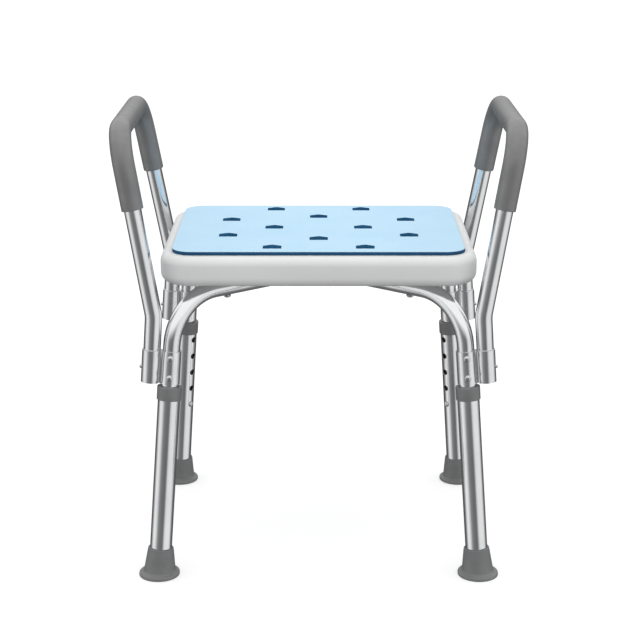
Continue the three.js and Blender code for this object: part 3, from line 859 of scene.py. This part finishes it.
def roundEdge(radius, low, high, steps=10):
    quarter = [math.pi / 2 * step / steps for step in range(steps + 1)]
    lower = [(radius * (1 - math.sin(a)), low + radius * (1 - math.cos(a))) for a in quarter]
    upper = [(radius * (1 - math.cos(a)), high - radius * (1 - math.sin(a))) for a in quarter]
    support = radius + 1.5 * mm
    return [(support, low)] + lower + upper + [(support, high)]


def makeSeat():
    width, depth = shellHigh.x - shellLow.x, shellHigh.y - shellLow.y
    underside = shellLow.z + seat["standOff"]
    levels = roundEdge(seat["edgeRadius"], underside, shellHigh.z)
    shell = loftedSlab("seatShell", width, depth, seat["cornerRadius"], levels)
    give(shell, "seatPlastic")
    bossTop = seat["standOff"] + seat["bossDepth"]
    boss = [(0, 0), (seat["bossRadius"], 0), (seat["bossRadius"], bossTop), (0, bossTop)]
    boss = rounded(boss, [0, seat["bossEdge"], 0, 0], 4, False)
    bossMaster = turned("bossMaster", boss, 40)
    screwPlaces = [screwPlaceOf(corner) for corner in cornerNames]
    places = [Vector((place.x, place.y, shellLow.z)) for place in screwPlaces]
    carve(shell, copiesOf(bossMaster, "screwBosses", places, [up] * len(places), "seatPlastic"), "UNION")
    carve(shell, slotCutter(shellLow.z, shellHigh.z, "seatPlastic"))
    drills = []
    for side in (-1, 1):
        ventPlace = Matrix.Translation((0, side * (depth / 2 - seat["ventInset"]), underside))
        drills.append((ventPlace, seat["ventRadius"], -seat["cutPast"], seat["ventDepth"]))
    for place in screwPlaces:
        pilot = (Matrix.Translation(place), fit["screwHole"], -bow["drillReach"], seat["pilotDepth"])
        drills.append(pilot)
    shellDrills = drillsAt("shellDrills", drills)
    give(shellDrills, "seatPlastic")
    carve(shell, shellDrills)
    tidyMesh(shell)
    finishPiece(shell, rootBody, "shell", "seat_shell")

    width, depth = padHigh.x - padLow.x, padHigh.y - padLow.y
    levels = roundEdge(seat["padEdge"], padLow.z, padHigh.z, 4)
    pad = loftedSlab("seatPad", width, depth, seat["padCornerRadius"], levels)
    give(pad, "padFoam", "padCutFoam")
    for face in pad.data.polygons:  # the top is light blue, the cut edges are dark
        face.material_index = 0 if face.normal.z > 0.35 else 1
    carve(pad, slotCutter(padLow.z, padHigh.z, "padSlotFoam"))
    tidyMesh(pad)
    finishPiece(pad, rootBody, "pad", "seat_pad")


# Bowed frame tubes, the bolt between them and the screws into the seat.
bow = {
    "bendRadius": 70 * mm,
    "middleBendRadius": 42 * mm,
    "middleHalf": 22 * mm,
    "betweenTubes": 0.8 * mm,
    "screwAlong": 83 * mm,
    "screwHead": 4.75 * mm,
    "screwHeadHeight": 2.9 * mm,
    "screwHeadCheek": 1.6 * mm,
    "screwRecess": 1.2 * mm,
    "screwShank": 2.3 * mm,
    "screwReach": 27.3 * mm,
    "screwTip": 3 * mm,
    "threadRings": 16,
    "drillReach": 15 * mm,
    "boltHead": 5.5 * mm,
    "boltHeadHeight": 4 * mm,
    "boltShank": 3 * mm,
    "boltHole": 3.3 * mm,
    "boltTail": 1.4 * mm,
    "boltChamfer": 0.5 * mm,
    "nutAcross": 5.6 * mm,
    "nutHeight": 5 * mm,
    "nutPlay": 0.28 * mm,
    "nutEdge": 0.3 * mm,
    # The next two sizes bound the painted shade on the bows behind the leg holes.
    "shadeFrom": 6.5 * mm,
    "shadeBelow": 12 * mm,
}


def bowMiddleOf(corner):
    sx, sy = signsOf(corner)
    return Vector((sx * bow["middleHalf"], sy * (fit["tubeRadius"] + bow["betweenTubes"] / 2), bowHeight))


def screwPlaceOf(corner):
    start = bowCornerOf(corner)
    return start + (bowMiddleOf(corner) - start).normalized() * bow["screwAlong"]


def makeBow(end):
    left, right = end + "_left", end + "_right"
    node = end + "_frame_tube"
    tailEnd = extentIn(node, legFrames[left])[0].z
    points = [alongLeg(left, tailEnd), bowCornerOf(left), bowMiddleOf(left)]
    points += [bowMiddleOf(right), bowCornerOf(right), alongLeg(right, tailEnd)]
    radii = [bow["bendRadius"], bow["middleBendRadius"], bow["middleBendRadius"], bow["bendRadius"]]
    outer, reach = fit["tubeRadius"], bow["drillReach"]
    piece = tubeAlong(end + "Bow", points, radii, outer, outer - fit["wall"], "polishedTube")
    drills = []
    for corner in (left, right):
        drills.append((legButtonPlace(corner) @ facingX, fit["buttonHole"], 0, 2 * outer))
        drills += [(place, fit["rivetHole"], 0, 2 * outer) for place in rivetFramesOf(corner)]
        drills.append((Matrix.Translation(screwPlaceOf(corner)), fit["screwHole"], -reach, reach))
    boltPlace = Matrix.Translation((0, signsOf(left)[1] * outer, bowHeight)) @ lyingDown
    drills.append((boltPlace, bow["boltHole"], -reach, reach))
    bowDrills = drillsAt("bowDrills", drills)
    give(bowDrills, "polishedTube")
    carve(piece, bowDrills)
    # Paints shade on the bows' tails behind the leg holes.
    paintHoleShade(piece, (left, right))
    tidyMesh(piece)
    finishPiece(piece, rootBody, "frame_aluminium", node)


# Inside the legs the side behind the row of holes is painted dark: painted shade, so that the holes look black.
def paintHoleShade(piece, ends):
    piece.data.materials.append(materials["dulledTube"])
    body = bmesh.new()
    body.from_mesh(piece.data)
    for corner in ends:
        inverse = legFrames[corner].inverted()
        hidden = extentIn("leg_tube_" + corner, legFrames[corner])[1].z - bow["shadeBelow"]
        everything = body.verts[:] + body.edges[:] + body.faces[:]
        cutAt, axis = alongLeg(corner, hidden), legAxisOf(corner)
        bmesh.ops.bisect_plane(body, geom=everything, plane_co=cutAt, plane_no=axis)
        for face in body.faces:
            place = inverse @ face.calc_center_median()
            if place.z < hidden and bow["shadeFrom"] < place.x < fit["legRadius"]:
                face.material_index = len(piece.data.materials) - 1
    body.to_mesh(piece.data)
    body.free()


def makeSeatScrews():
    head, shank = bow["screwHead"], bow["screwShank"]
    under = -sleeveBore
    low = under - bow["screwHeadHeight"]
    recess, recessTop = 0.55 * head, low + bow["screwRecess"]
    profile = [(0, recessTop), (0.3 * recess, recessTop), (recess, low), (0.75 * head, low)]
    profile += [(head, low + bow["screwHeadCheek"]), (head, under), (shank, under)]
    tip = bow["screwReach"] - fit["tubeRadius"]
    threadLow, threadTop, rings = sleeveBore, tip - bow["screwTip"], bow["threadRings"]
    pitch = (threadTop - threadLow) / rings
    for ring in range(rings):  # rings stand for the thread
        height = threadLow + pitch * ring
        profile += [(0.82 * shank, height), (shank, height + pitch / 2)]
    profile += [(0.8 * shank, threadTop), (0, tip)]
    radii = [0, 0, 0, 0.5 * mm, 0.8 * mm] + [0] * (len(profile) - 5)
    master = turned("screwMaster", rounded(profile, radii, 4, False), 32)
    places = [screwPlaceOf(corner) for corner in cornerNames]
    screws = copiesOf(master, "seatScrews", places, [up] * len(places), "stainlessSteel")
    finishPiece(screws, rootBody, "fastener_steel", *["seat_screw_" + corner for corner in cornerNames])


def makeCentreBolt():
    under = 2 * fit["tubeRadius"] + bow["betweenTubes"] / 2 + fit["gap"]
    head, shank, height = bow["boltHead"], bow["boltShank"], bow["boltHeadHeight"]
    nutEnd = under + bow["nutHeight"]
    tip, chamfer = nutEnd + bow["boltTail"], bow["boltChamfer"]
    socketFloor = under + 0.5 * height
    profile = [(0, -tip), (shank - chamfer, -tip), (shank, chamfer - tip), (shank, under)]
    profile += [(head, under), (head, under + 0.4 * height), (0.55 * head, under + height)]
    profile += [(0.45 * head, socketFloor), (0, socketFloor)]
    radii = [0, 0, 0, 0, 0.4 * mm, 1.6 * mm, 0.3 * mm, 0, 0]
    lying = Matrix.Translation((0, 0, bowHeight)) @ lyingDown
    bolt = turned("centreBolt", rounded(profile, radii, 4, False), 40, place=lying)
    give(bolt, "stainlessSteel")
    finishPiece(bolt, rootBody, "fastener_steel", "centre_bolt")
    sixths = [math.radians(60 * side) for side in range(6)]
    hexagon = [bow["nutAcross"] * Vector((math.cos(angle), math.sin(angle))) for angle in sixths]
    nut = prism("centreNut", rounded(hexagon, 0.4 * mm, 3), -nutEnd, -under, lying)
    past = 4 * mm
    carve(nut, drillsAt("nutDrill", [(lying, shank + bow["nutPlay"], -nutEnd - past, -under + past)]))
    bevelEdges(nut, bow["nutEdge"], 2)
    tidyMesh(nut)
    give(nut, "stainlessSteel")
    finishPiece(nut, rootBody, "fastener_steel", "centre_nut")


# Twin sleeves that hold an arm beside each leg, and their blind rivets.
bracket = {
    "web": 9 * mm,
    "edge": 0.5 * mm,
    "trimHalf": 120 * mm,
    "rivetHead": 4.2 * mm,
    "rivetHeadHeight": 2.2 * mm,
    "rivetRim": 0.5 * mm,
    "rivetShank": 2 * mm,
    "rivetTail": 2.6 * mm,
    "rivetTailLength": 1.1 * mm,
    "rivetTailNeck": 0.3 * mm,
    "rivetTailInside": 0.9 * mm,
    "mandrelHole": 0.9 * mm,
    "mandrelFloor": 1.1 * mm,
}


def makeBracket(corner):
    name = "twin_bracket_" + corner
    low, high = extentIn(name, legFrames[corner])
    length = high.z - low.z
    middle = Matrix.Translation((0, 0, bracketMiddles[corner]))
    onLeg, onSleeve = legFrames[corner] @ middle, sleeveFrames[corner]
    post = [(0, -length), (sleeveRadius, -length), (sleeveRadius, length), (0, length)]
    body = turned("twinBracket_" + corner, post, 72, place=onLeg)
    carve(body, turned("sleeveStock", post, 72, place=onSleeve), "UNION")
    centre = (onLeg.translation + onSleeve.translation) / 2
    web = prism("webStock", squareOutline(0.5), -0.5, 0.5)
    lean = onSleeve.to_3x3().to_4x4()
    stretch = Matrix.Diagonal((fit["sleeveSpacing"], bracket["web"], 2 * length, 1))
    web.data.transform(Matrix.Translation(centre) @ lean @ stretch)
    carve(body, web, "UNION")
    trim = squareOutline(bracket["trimHalf"])
    carve(body, prism("squareEnds", trim, low.z, high.z, legFrames[corner]), "INTERSECT")
    carve(body, drillsAt("legBore", [(onLeg, sleeveBore, -2 * length, 2 * length)]))
    carve(body, drillsAt("sleeveBore", [(onSleeve, sleeveBore, -2 * length, 2 * length)]))
    holes = [(onSleeve @ facingX, fit["armButtonHole"], 0, 2 * sleeveRadius)]
    holes += [(place, fit["rivetHole"], 0, 2 * sleeveRadius) for place in rivetFramesOf(corner)]
    carve(body, drillsAt("bracketDrills", holes))
    tidyMesh(body)
    bevelEdges(body, bracket["edge"], 2, 60)
    tidyMesh(body)
    roundNormals(body, [onLeg, onSleeve], [sleeveRadius, sleeveBore])
    give(body, "satinExtrusion")
    finishPiece(body, rootBody, "bracket_aluminium", name)


def makeRivets():
    outside = sleeveRadius + fit["gap"]
    inside = fit["tubeRadius"] - fit["wall"] - bracket["rivetTailInside"]
    tailEnd, tailNeck = inside - bracket["rivetTailLength"], inside - bracket["rivetTailNeck"]
    head, shank, tail = bracket["rivetHead"], bracket["rivetShank"], bracket["rivetTail"]
    rim, top = outside + bracket["rivetRim"], outside + bracket["rivetHeadHeight"]
    profile = [(0, tailEnd), (tail, tailEnd), (tail, tailNeck), (shank, inside)]
    profile += [(shank, outside), (head, outside), (head, rim)]
    dome = [math.radians(angle) for angle in range(15, 86, 14)]
    profile += [(head * math.cos(angle), rim + (top - rim) * math.sin(angle)) for angle in dome]
    mandrel, floor = bracket["mandrelHole"], outside + bracket["mandrelFloor"]
    profile += [(mandrel, top), (mandrel, floor), (0, floor)]
    master = turned("rivetMaster", profile, 32)
    frames = [place for corner in cornerNames for place in rivetFramesOf(corner)]
    places, directions = [one.translation for one in frames], [one.col[2].to_3d() for one in frames]
    rivets = copiesOf(master, "bracketRivets", places, directions, "stainlessSteel")
    nodes = [f"bracket_rivet_{corner}_{row}" for corner in cornerNames for row in ("lower", "upper")]
    finishPiece(rivets, rootBody, "fastener_steel", *nodes)


# Telescopic legs: drilled tube, collar cap with its bush, and rubber foot.
leg = {
    "mouthEdge": 0.25 * mm,
    "collarWall": 1.25 * mm,
    "collarLength": 17.5 * mm,
    "collarEdge": 1.1 * mm,
    "footBore": 14.65 * mm,
    "footTopWall": 1.9 * mm,
    "coneRadius": 20.9 * mm,
    "sole": 8 * mm,
    "flangeHeight": 5.2 * mm,
    "flangeFillet": 3.4 * mm,
    "treadRings": (0.3, 0.52, 0.74),  # as shares of the flange's radius
    "treadWidth": 2.4 * mm,
    "treadSlope": 0.4 * mm,
    "treadDepth": 0.8 * mm,
    "levelUpTo": 4 * mm,  # below this the foot stands level, then it turns to the leg's lean
    "turnsWithin": 14 * mm,
}


def makeLegTube(corner):
    low, high = extentIn("leg_tube_" + corner, legFrames[corner])
    outer = fit["legRadius"]
    piece = pieceFrom("legTube_" + corner, [], [])
    values = {"Diameter": 2 * outer, "Wall": fit["wall"], "Bottom": low.z, "Top": high.z}
    values.update({"Hole Diameter": 2 * fit["buttonHole"], "Lowest Hole": legButtonHeight(corner)})
    values.update({"Pitch": fit["holePitch"], "Holes": fit["holes"], "Sides": 64})
    values["Material"] = materials["polishedTube"]
    grow(piece, drilledTube, values)
    bevelEdges(piece, leg["mouthEdge"], 2, 60)
    piece.data.transform(legFrames[corner])
    tidyMesh(piece)
    roundNormals(piece, [legFrames[corner]], [outer, outer - fit["wall"]])
    finishPiece(piece, "leg_" + corner, "leg_aluminium", "leg_tube_" + corner)


def makeCollar(corner):
    low, high = extentIn("leg_collar_" + corner, legFrames[corner])
    tubeTop = extentIn("leg_tube_" + corner, legFrames[corner])[1].z
    bore, bushRadius = sleeveBore, fit["legRadius"] - fit["wall"] - fit["gap"]
    skirtInner = fit["legRadius"] + fit["gap"]
    skirtOuter = skirtInner + leg["collarWall"]
    underCap, skirtEnd = tubeTop + fit["gap"], high.z - leg["collarLength"]
    profile = [(bore, low.z), (bushRadius, low.z), (bushRadius, underCap), (skirtInner, underCap)]
    profile += [(skirtInner, skirtEnd), (skirtOuter, skirtEnd), (skirtOuter, high.z), (bore, high.z)]
    radii = [0.3 * mm, 0.3 * mm, 0, 0, 0.2 * mm, 0.5 * mm, leg["collarEdge"], 0.6 * mm]
    outline = rounded(profile, radii, 5)
    piece = turned("legCollar_" + corner, outline, 64, closed=True, place=legFrames[corner])
    give(piece, "greyPlastic")
    finishPiece(piece, "leg_" + corner, "grey_plastic", "leg_collar_" + corner)


def makeFoot(corner):
    flangeLow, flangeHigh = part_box("rubber_foot_" + corner)
    flangeRadius = (flangeHigh.y - flangeLow.y) / 2
    origin, axis = legFrames[corner].translation, legAxisOf(corner)
    upright, lean = Quaternion((1, 0, 0, 0)), up.rotation_difference(axis)
    bore, sole, flangeTop = leg["footBore"], leg["sole"], leg["flangeHeight"]
    top = extentIn("rubber_foot_" + corner, legFrames[corner])[1].z
    depth, slope = leg["treadDepth"], leg["treadSlope"]
    profile, radii = [(0, 0)], [0]
    for share in leg["treadRings"]:  # grooves pressed into the sole
        start = share * flangeRadius
        end = start + leg["treadWidth"]
        profile += [(start, 0), (start + slope, depth), (end - slope, depth), (end, 0)]
        radii += [0, 0, 0, 0]
    profile += [(flangeRadius, 0), (flangeRadius, flangeTop), (leg["coneRadius"], flangeTop)]
    radii += [1.2 * mm, 2.2 * mm, leg["flangeFillet"]]
    profile += [(bore + leg["footTopWall"], top), (bore, top), (bore, sole), (0, sole)]
    radii += [0.9 * mm, 0.5 * mm, 0.8 * mm, 0]

    def ringPlace(height, radius):
        share = min(max((height - leg["levelUpTo"]) / leg["turnsWithin"], 0), 1)
        share = share * share * (3 - 2 * share)
        if height > sole - 0.2 * mm and radius < bore + 0.1 * mm:  # the socket follows the leg
            share = 1
        centre = (origin + axis * (height / axis.z)).lerp(origin + axis * height, share)
        return Matrix.Translation(centre) @ upright.slerp(lean, share).to_matrix().to_4x4()

    outline = rounded(profile, radii, 6, False)
    piece = turned("rubberFoot_" + corner, outline, 72, ringPlace=ringPlace)
    give(piece, "greyRubber")
    finishPiece(piece, "leg_" + corner, "grey_rubber", "rubber_foot_" + corner)


# Snap buttons with their hairpin leaf springs.
button = {
    "legRadius": 3.7 * mm,
    "armRadius": 2.3 * mm,
    "legTip": 16.65 * mm,
    "armTip": 15 * mm,
    "collarRadius": 4.8 * mm,
    "collarHeight": 0.9 * mm,
    "collarPlace": 6.8 * mm,
    "springWidth": 7 * mm,
    "springThickness": 0.7 * mm,
    "springReach": 14 * mm,
    "springBack": -8.2 * mm,
    "springBends": (3 * mm, 2.6 * mm, 2 * mm),
    "springKeep": 0.6,
}


def makeButton(name, node, place, radius, tip):
    flange, base = button["collarRadius"], button["collarPlace"]
    shoulder = base + button["collarHeight"]
    profile = [(0, base), (flange, base), (flange, shoulder), (radius, shoulder), (radius, tip), (0, tip)]
    outline = rounded(profile, [0, 0.25 * mm, 0.25 * mm, 0, 0.5 * radius, 0], 6, False)
    piece = turned(name, outline, 36, place=place @ facingX)
    give(piece, "stainlessSteel")
    finishPiece(piece, node, "fastener_steel", node)


# A bent strip of spring steel in the XZ plane: leaf behind the button, U bend, back leaf.
def makeSpring(name, node, place, body):
    front = button["collarPlace"] - fit["gap"]
    back, reach, thickness = button["springBack"], button["springReach"], button["springThickness"]
    leaf, spine = front - thickness / 2, back + thickness / 2
    centre = [(leaf, 0.5 * reach), (leaf, -0.45 * reach), ((front + back) / 2, thickness / 2 - reach)]
    centre += [(spine, -0.85 * reach), (spine, reach)]
    path = rounded(centre, [0, *button["springBends"], 0], 8, False)
    outer, inner = [], []
    for i, point in enumerate(path):
        ahead = path[min(i + 1, len(path) - 1)] - path[max(i - 1, 0)]
        side = Vector((-ahead.y, ahead.x)).normalized() * thickness / 2
        outer.append(point + side)
        inner.append(point - side)
    outline, half = outer + inner[::-1], button["springWidth"] / 2
    piece = prism(name, outline, -half, half, place @ lyingDown)
    give(piece, "springSteel")
    finishPiece(piece, body, "spring_steel", node)
    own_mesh(piece)


# kind is leg or arm; the button is a body of its own and its spring rides springBody.
def makeSnapButton(kind, corner, place, springBody):
    node, joint = f"{kind}_button_{corner}", f"{kind}_button_press_{corner}"
    makeButton(f"{kind}Button_{corner}", node, place, button[kind + "Radius"], button[kind + "Tip"])
    makeSpring(f"{kind}Spring_{corner}", f"{kind}_button_spring_{corner}", place, springBody)


# Arms: bent tube from sleeve to sleeve with a foam grip over the top.
arm = {
    "tail": 19 * mm,
    "kinkAbove": 68 * mm,
    "overSeat": 154.5 * mm,
    "outside": 47.7 * mm,
    "topHalf": 131 * mm,
    "kinkRadius": 42 * mm,
    "bendRadius": 46 * mm,
    "gripOuter": 14.05 * mm,
    "gripInner": 11.45 * mm,
    "gripDrop": 96 * mm,
    "gripEndRounding": 1.25 * mm,
}


def armTopOf(corner):
    sx, sy = signsOf(corner)
    return Vector((sx * (shellHigh.x + arm["outside"]), sy * arm["topHalf"], shellHigh.z + arm["overSeat"]))


def makeArm(side):
    front, rear = "front_" + side, "rear_" + side
    kinks = {corner: alongSleeve(corner, arm["kinkAbove"]) for corner in (front, rear)}
    points = [alongSleeve(front, -arm["tail"]), kinks[front], armTopOf(front)]
    points += [armTopOf(rear), kinks[rear], alongSleeve(rear, -arm["tail"])]
    radii = [arm["kinkRadius"], arm["bendRadius"], arm["bendRadius"], arm["kinkRadius"]]
    outer = fit["tubeRadius"]
    tube = tubeAlong(side + "ArmTube", points, radii, outer, outer - fit["wall"], "polishedTube")
    places = [sleeveFrames[corner] @ facingX for corner in (front, rear)]
    armDrills = drillsAt("armDrills", [(place, fit["armButtonHole"], 0, 2 * outer) for place in places])
    give(armDrills, "polishedTube")
    carve(tube, armDrills)
    tidyMesh(tube)
    finishPiece(tube, "arm_" + side, "frame_aluminium", "arm_tube_" + side)

    ends = {}
    for corner in (front, rear):
        upright = kinks[corner] - armTopOf(corner)
        ends[corner] = armTopOf(corner) + upright * (arm["gripDrop"] / abs(upright.z))
    points = [ends[front], armTopOf(front), armTopOf(rear), ends[rear]]
    radii = [arm["bendRadius"], arm["bendRadius"]]
    outer, inner, lip = arm["gripOuter"], arm["gripInner"], arm["gripEndRounding"]
    grip = tubeAlong(side + "ArmGrip", points, radii, outer, inner, "greyFoam", lip, 5)
    finishPiece(grip, "arm_" + side, "grey_foam", "arm_grip_" + side)


makeSeat()
print("seat made")
for end in ("front", "rear"):
    makeBow(end)
makeSeatScrews()
makeCentreBolt()
print("frame made")
for corner in cornerNames:
    makeBracket(corner)
makeRivets()
print("brackets made")
for corner in cornerNames:
    makeLegTube(corner)
    makeCollar(corner)
    makeFoot(corner)
    makeSnapButton("leg", corner, legButtonPlace(corner), rootBody)
    makeSnapButton("arm", corner, sleeveFrames[corner], "arm_" + sideOf(corner))
print("legs and snap buttons made")
for side in sideNames:
    makeArm(side)
print("arms made")


# Studio: pale floor, soft overhead light, and softboxes and dark gaps round the walls that
# draw the long stripes on the tubes.
studio = {
    "floorSize": 30.0,
    "floorColour": (0.55, 0.552, 0.555),
    "floorGlow": 0.53,
    "topLight": {"size": 2.4, "height": 2.6, "power": 4},
    "wallStrength": 1.0,
    "backdrop": (0.99, 0.99, 0.99),
    "overhead": (0.05, 0.35),
    "ceiling": (1.08, 1.08, 1.08),
    "nadir": (-0.9, -0.5),
    "underfoot": (0.16, 0.16, 0.165),
    "walls": [  # degrees round from the front, brightness
        (-180, 0.11), (-120, 0.11), (-100, 0.5), (-88, 0.95), (-66, 0.9), (-50, 0.6), (-38, 0.28),
        (-18, 0.19), (8, 0.155), (18, 0.22), (28, 0.68), (42, 0.88), (84, 0.9), (98, 0.7), (112, 0.22),
        (130, 0.1), (180, 0.1),
    ],
}


def makeFloor():
    corners = [(x, y, 0) for x, y in squareOutline(studio["floorSize"] / 2)]
    floor = pieceFrom("floor", corners, [[0, 1, 2, 3]])
    paint = bpy.data.materials.new("floorPaint")
    paint.use_nodes = True
    shader = paint.node_tree.nodes["Principled BSDF"]
    shader.inputs["Base Color"].default_value = rgb(*studio["floorColour"])
    shader.inputs["Roughness"].default_value = 0.9
    shader.inputs["Specular IOR Level"].default_value = 0.0
    shader.inputs["Emission Color"].default_value = rgb(1, 1, 1)
    shader.inputs["Emission Strength"].default_value = studio["floorGlow"]
    floor.data.materials.append(paint)
    floor.visible_glossy = False
    floor.visible_diffuse = False


def makeLights():
    top = bpy.data.lights.new("topLight", "AREA")
    top.shape = "DISK"
    top.size = studio["topLight"]["size"]
    top.energy = studio["topLight"]["power"]
    lamp = bpy.data.objects.new("topLight", top)
    lamp.location = (0, 0, studio["topLight"]["height"])
    scene.collection.objects.link(lamp)


def makeWorld():
    world = bpy.data.worlds.new("studioWalls")
    scene.world = world
    world.use_nodes = True
    tree = world.node_tree
    tree.nodes.clear()
    direction = addNode(tree, "ShaderNodeTexCoord").outputs["Generated"]
    parts = addNode(tree, "ShaderNodeSeparateXYZ", {0: direction})
    towards = addNode(tree, "ShaderNodeMath", {0: parts.outputs["Y"], 1: -1.0}, operation="MULTIPLY")
    turnValues = {0: parts.outputs["X"], 1: towards.outputs[0]}
    turn = addNode(tree, "ShaderNodeMath", turnValues, operation="ARCTAN2").outputs[0]
    share = rangeNode(tree, turn, -math.pi, math.pi, 0.0, 1.0)
    ramp = addNode(tree, "ShaderNodeValToRGB", {"Fac": share})
    stops = ramp.color_ramp.elements
    stops.remove(stops[1])
    for i, (angle, brightness) in enumerate(studio["walls"]):
        position = (angle + 180) / 360
        stop = stops[0] if i == 0 else stops.new(position)
        stop.position = position
        stop.color = rgb(brightness, brightness, brightness)
    overhead = rangeNode(tree, parts.outputs["Z"], *studio["overhead"], 0.0, 1.0)
    walls = mixColours(tree, overhead, ramp.outputs["Color"], rgb(*studio["ceiling"]))
    lit = rangeNode(tree, parts.outputs["Z"], *studio["nadir"], 0.0, 1.0)
    walls = mixColours(tree, lit, rgb(*studio["underfoot"]), walls)
    seen = addNode(tree, "ShaderNodeLightPath").outputs["Is Camera Ray"]
    colour = mixColours(tree, seen, walls, rgb(*studio["backdrop"]))
    backgroundValues = {"Color": colour, "Strength": studio["wallStrength"]}
    background = addNode(tree, "ShaderNodeBackground", backgroundValues)
    addNode(tree, "ShaderNodeOutputWorld", {"Surface": background.outputs[0]})


makeFloor()
makeLights()
makeWorld()
scene.view_settings.view_transform = "Standard"
print("studio made")
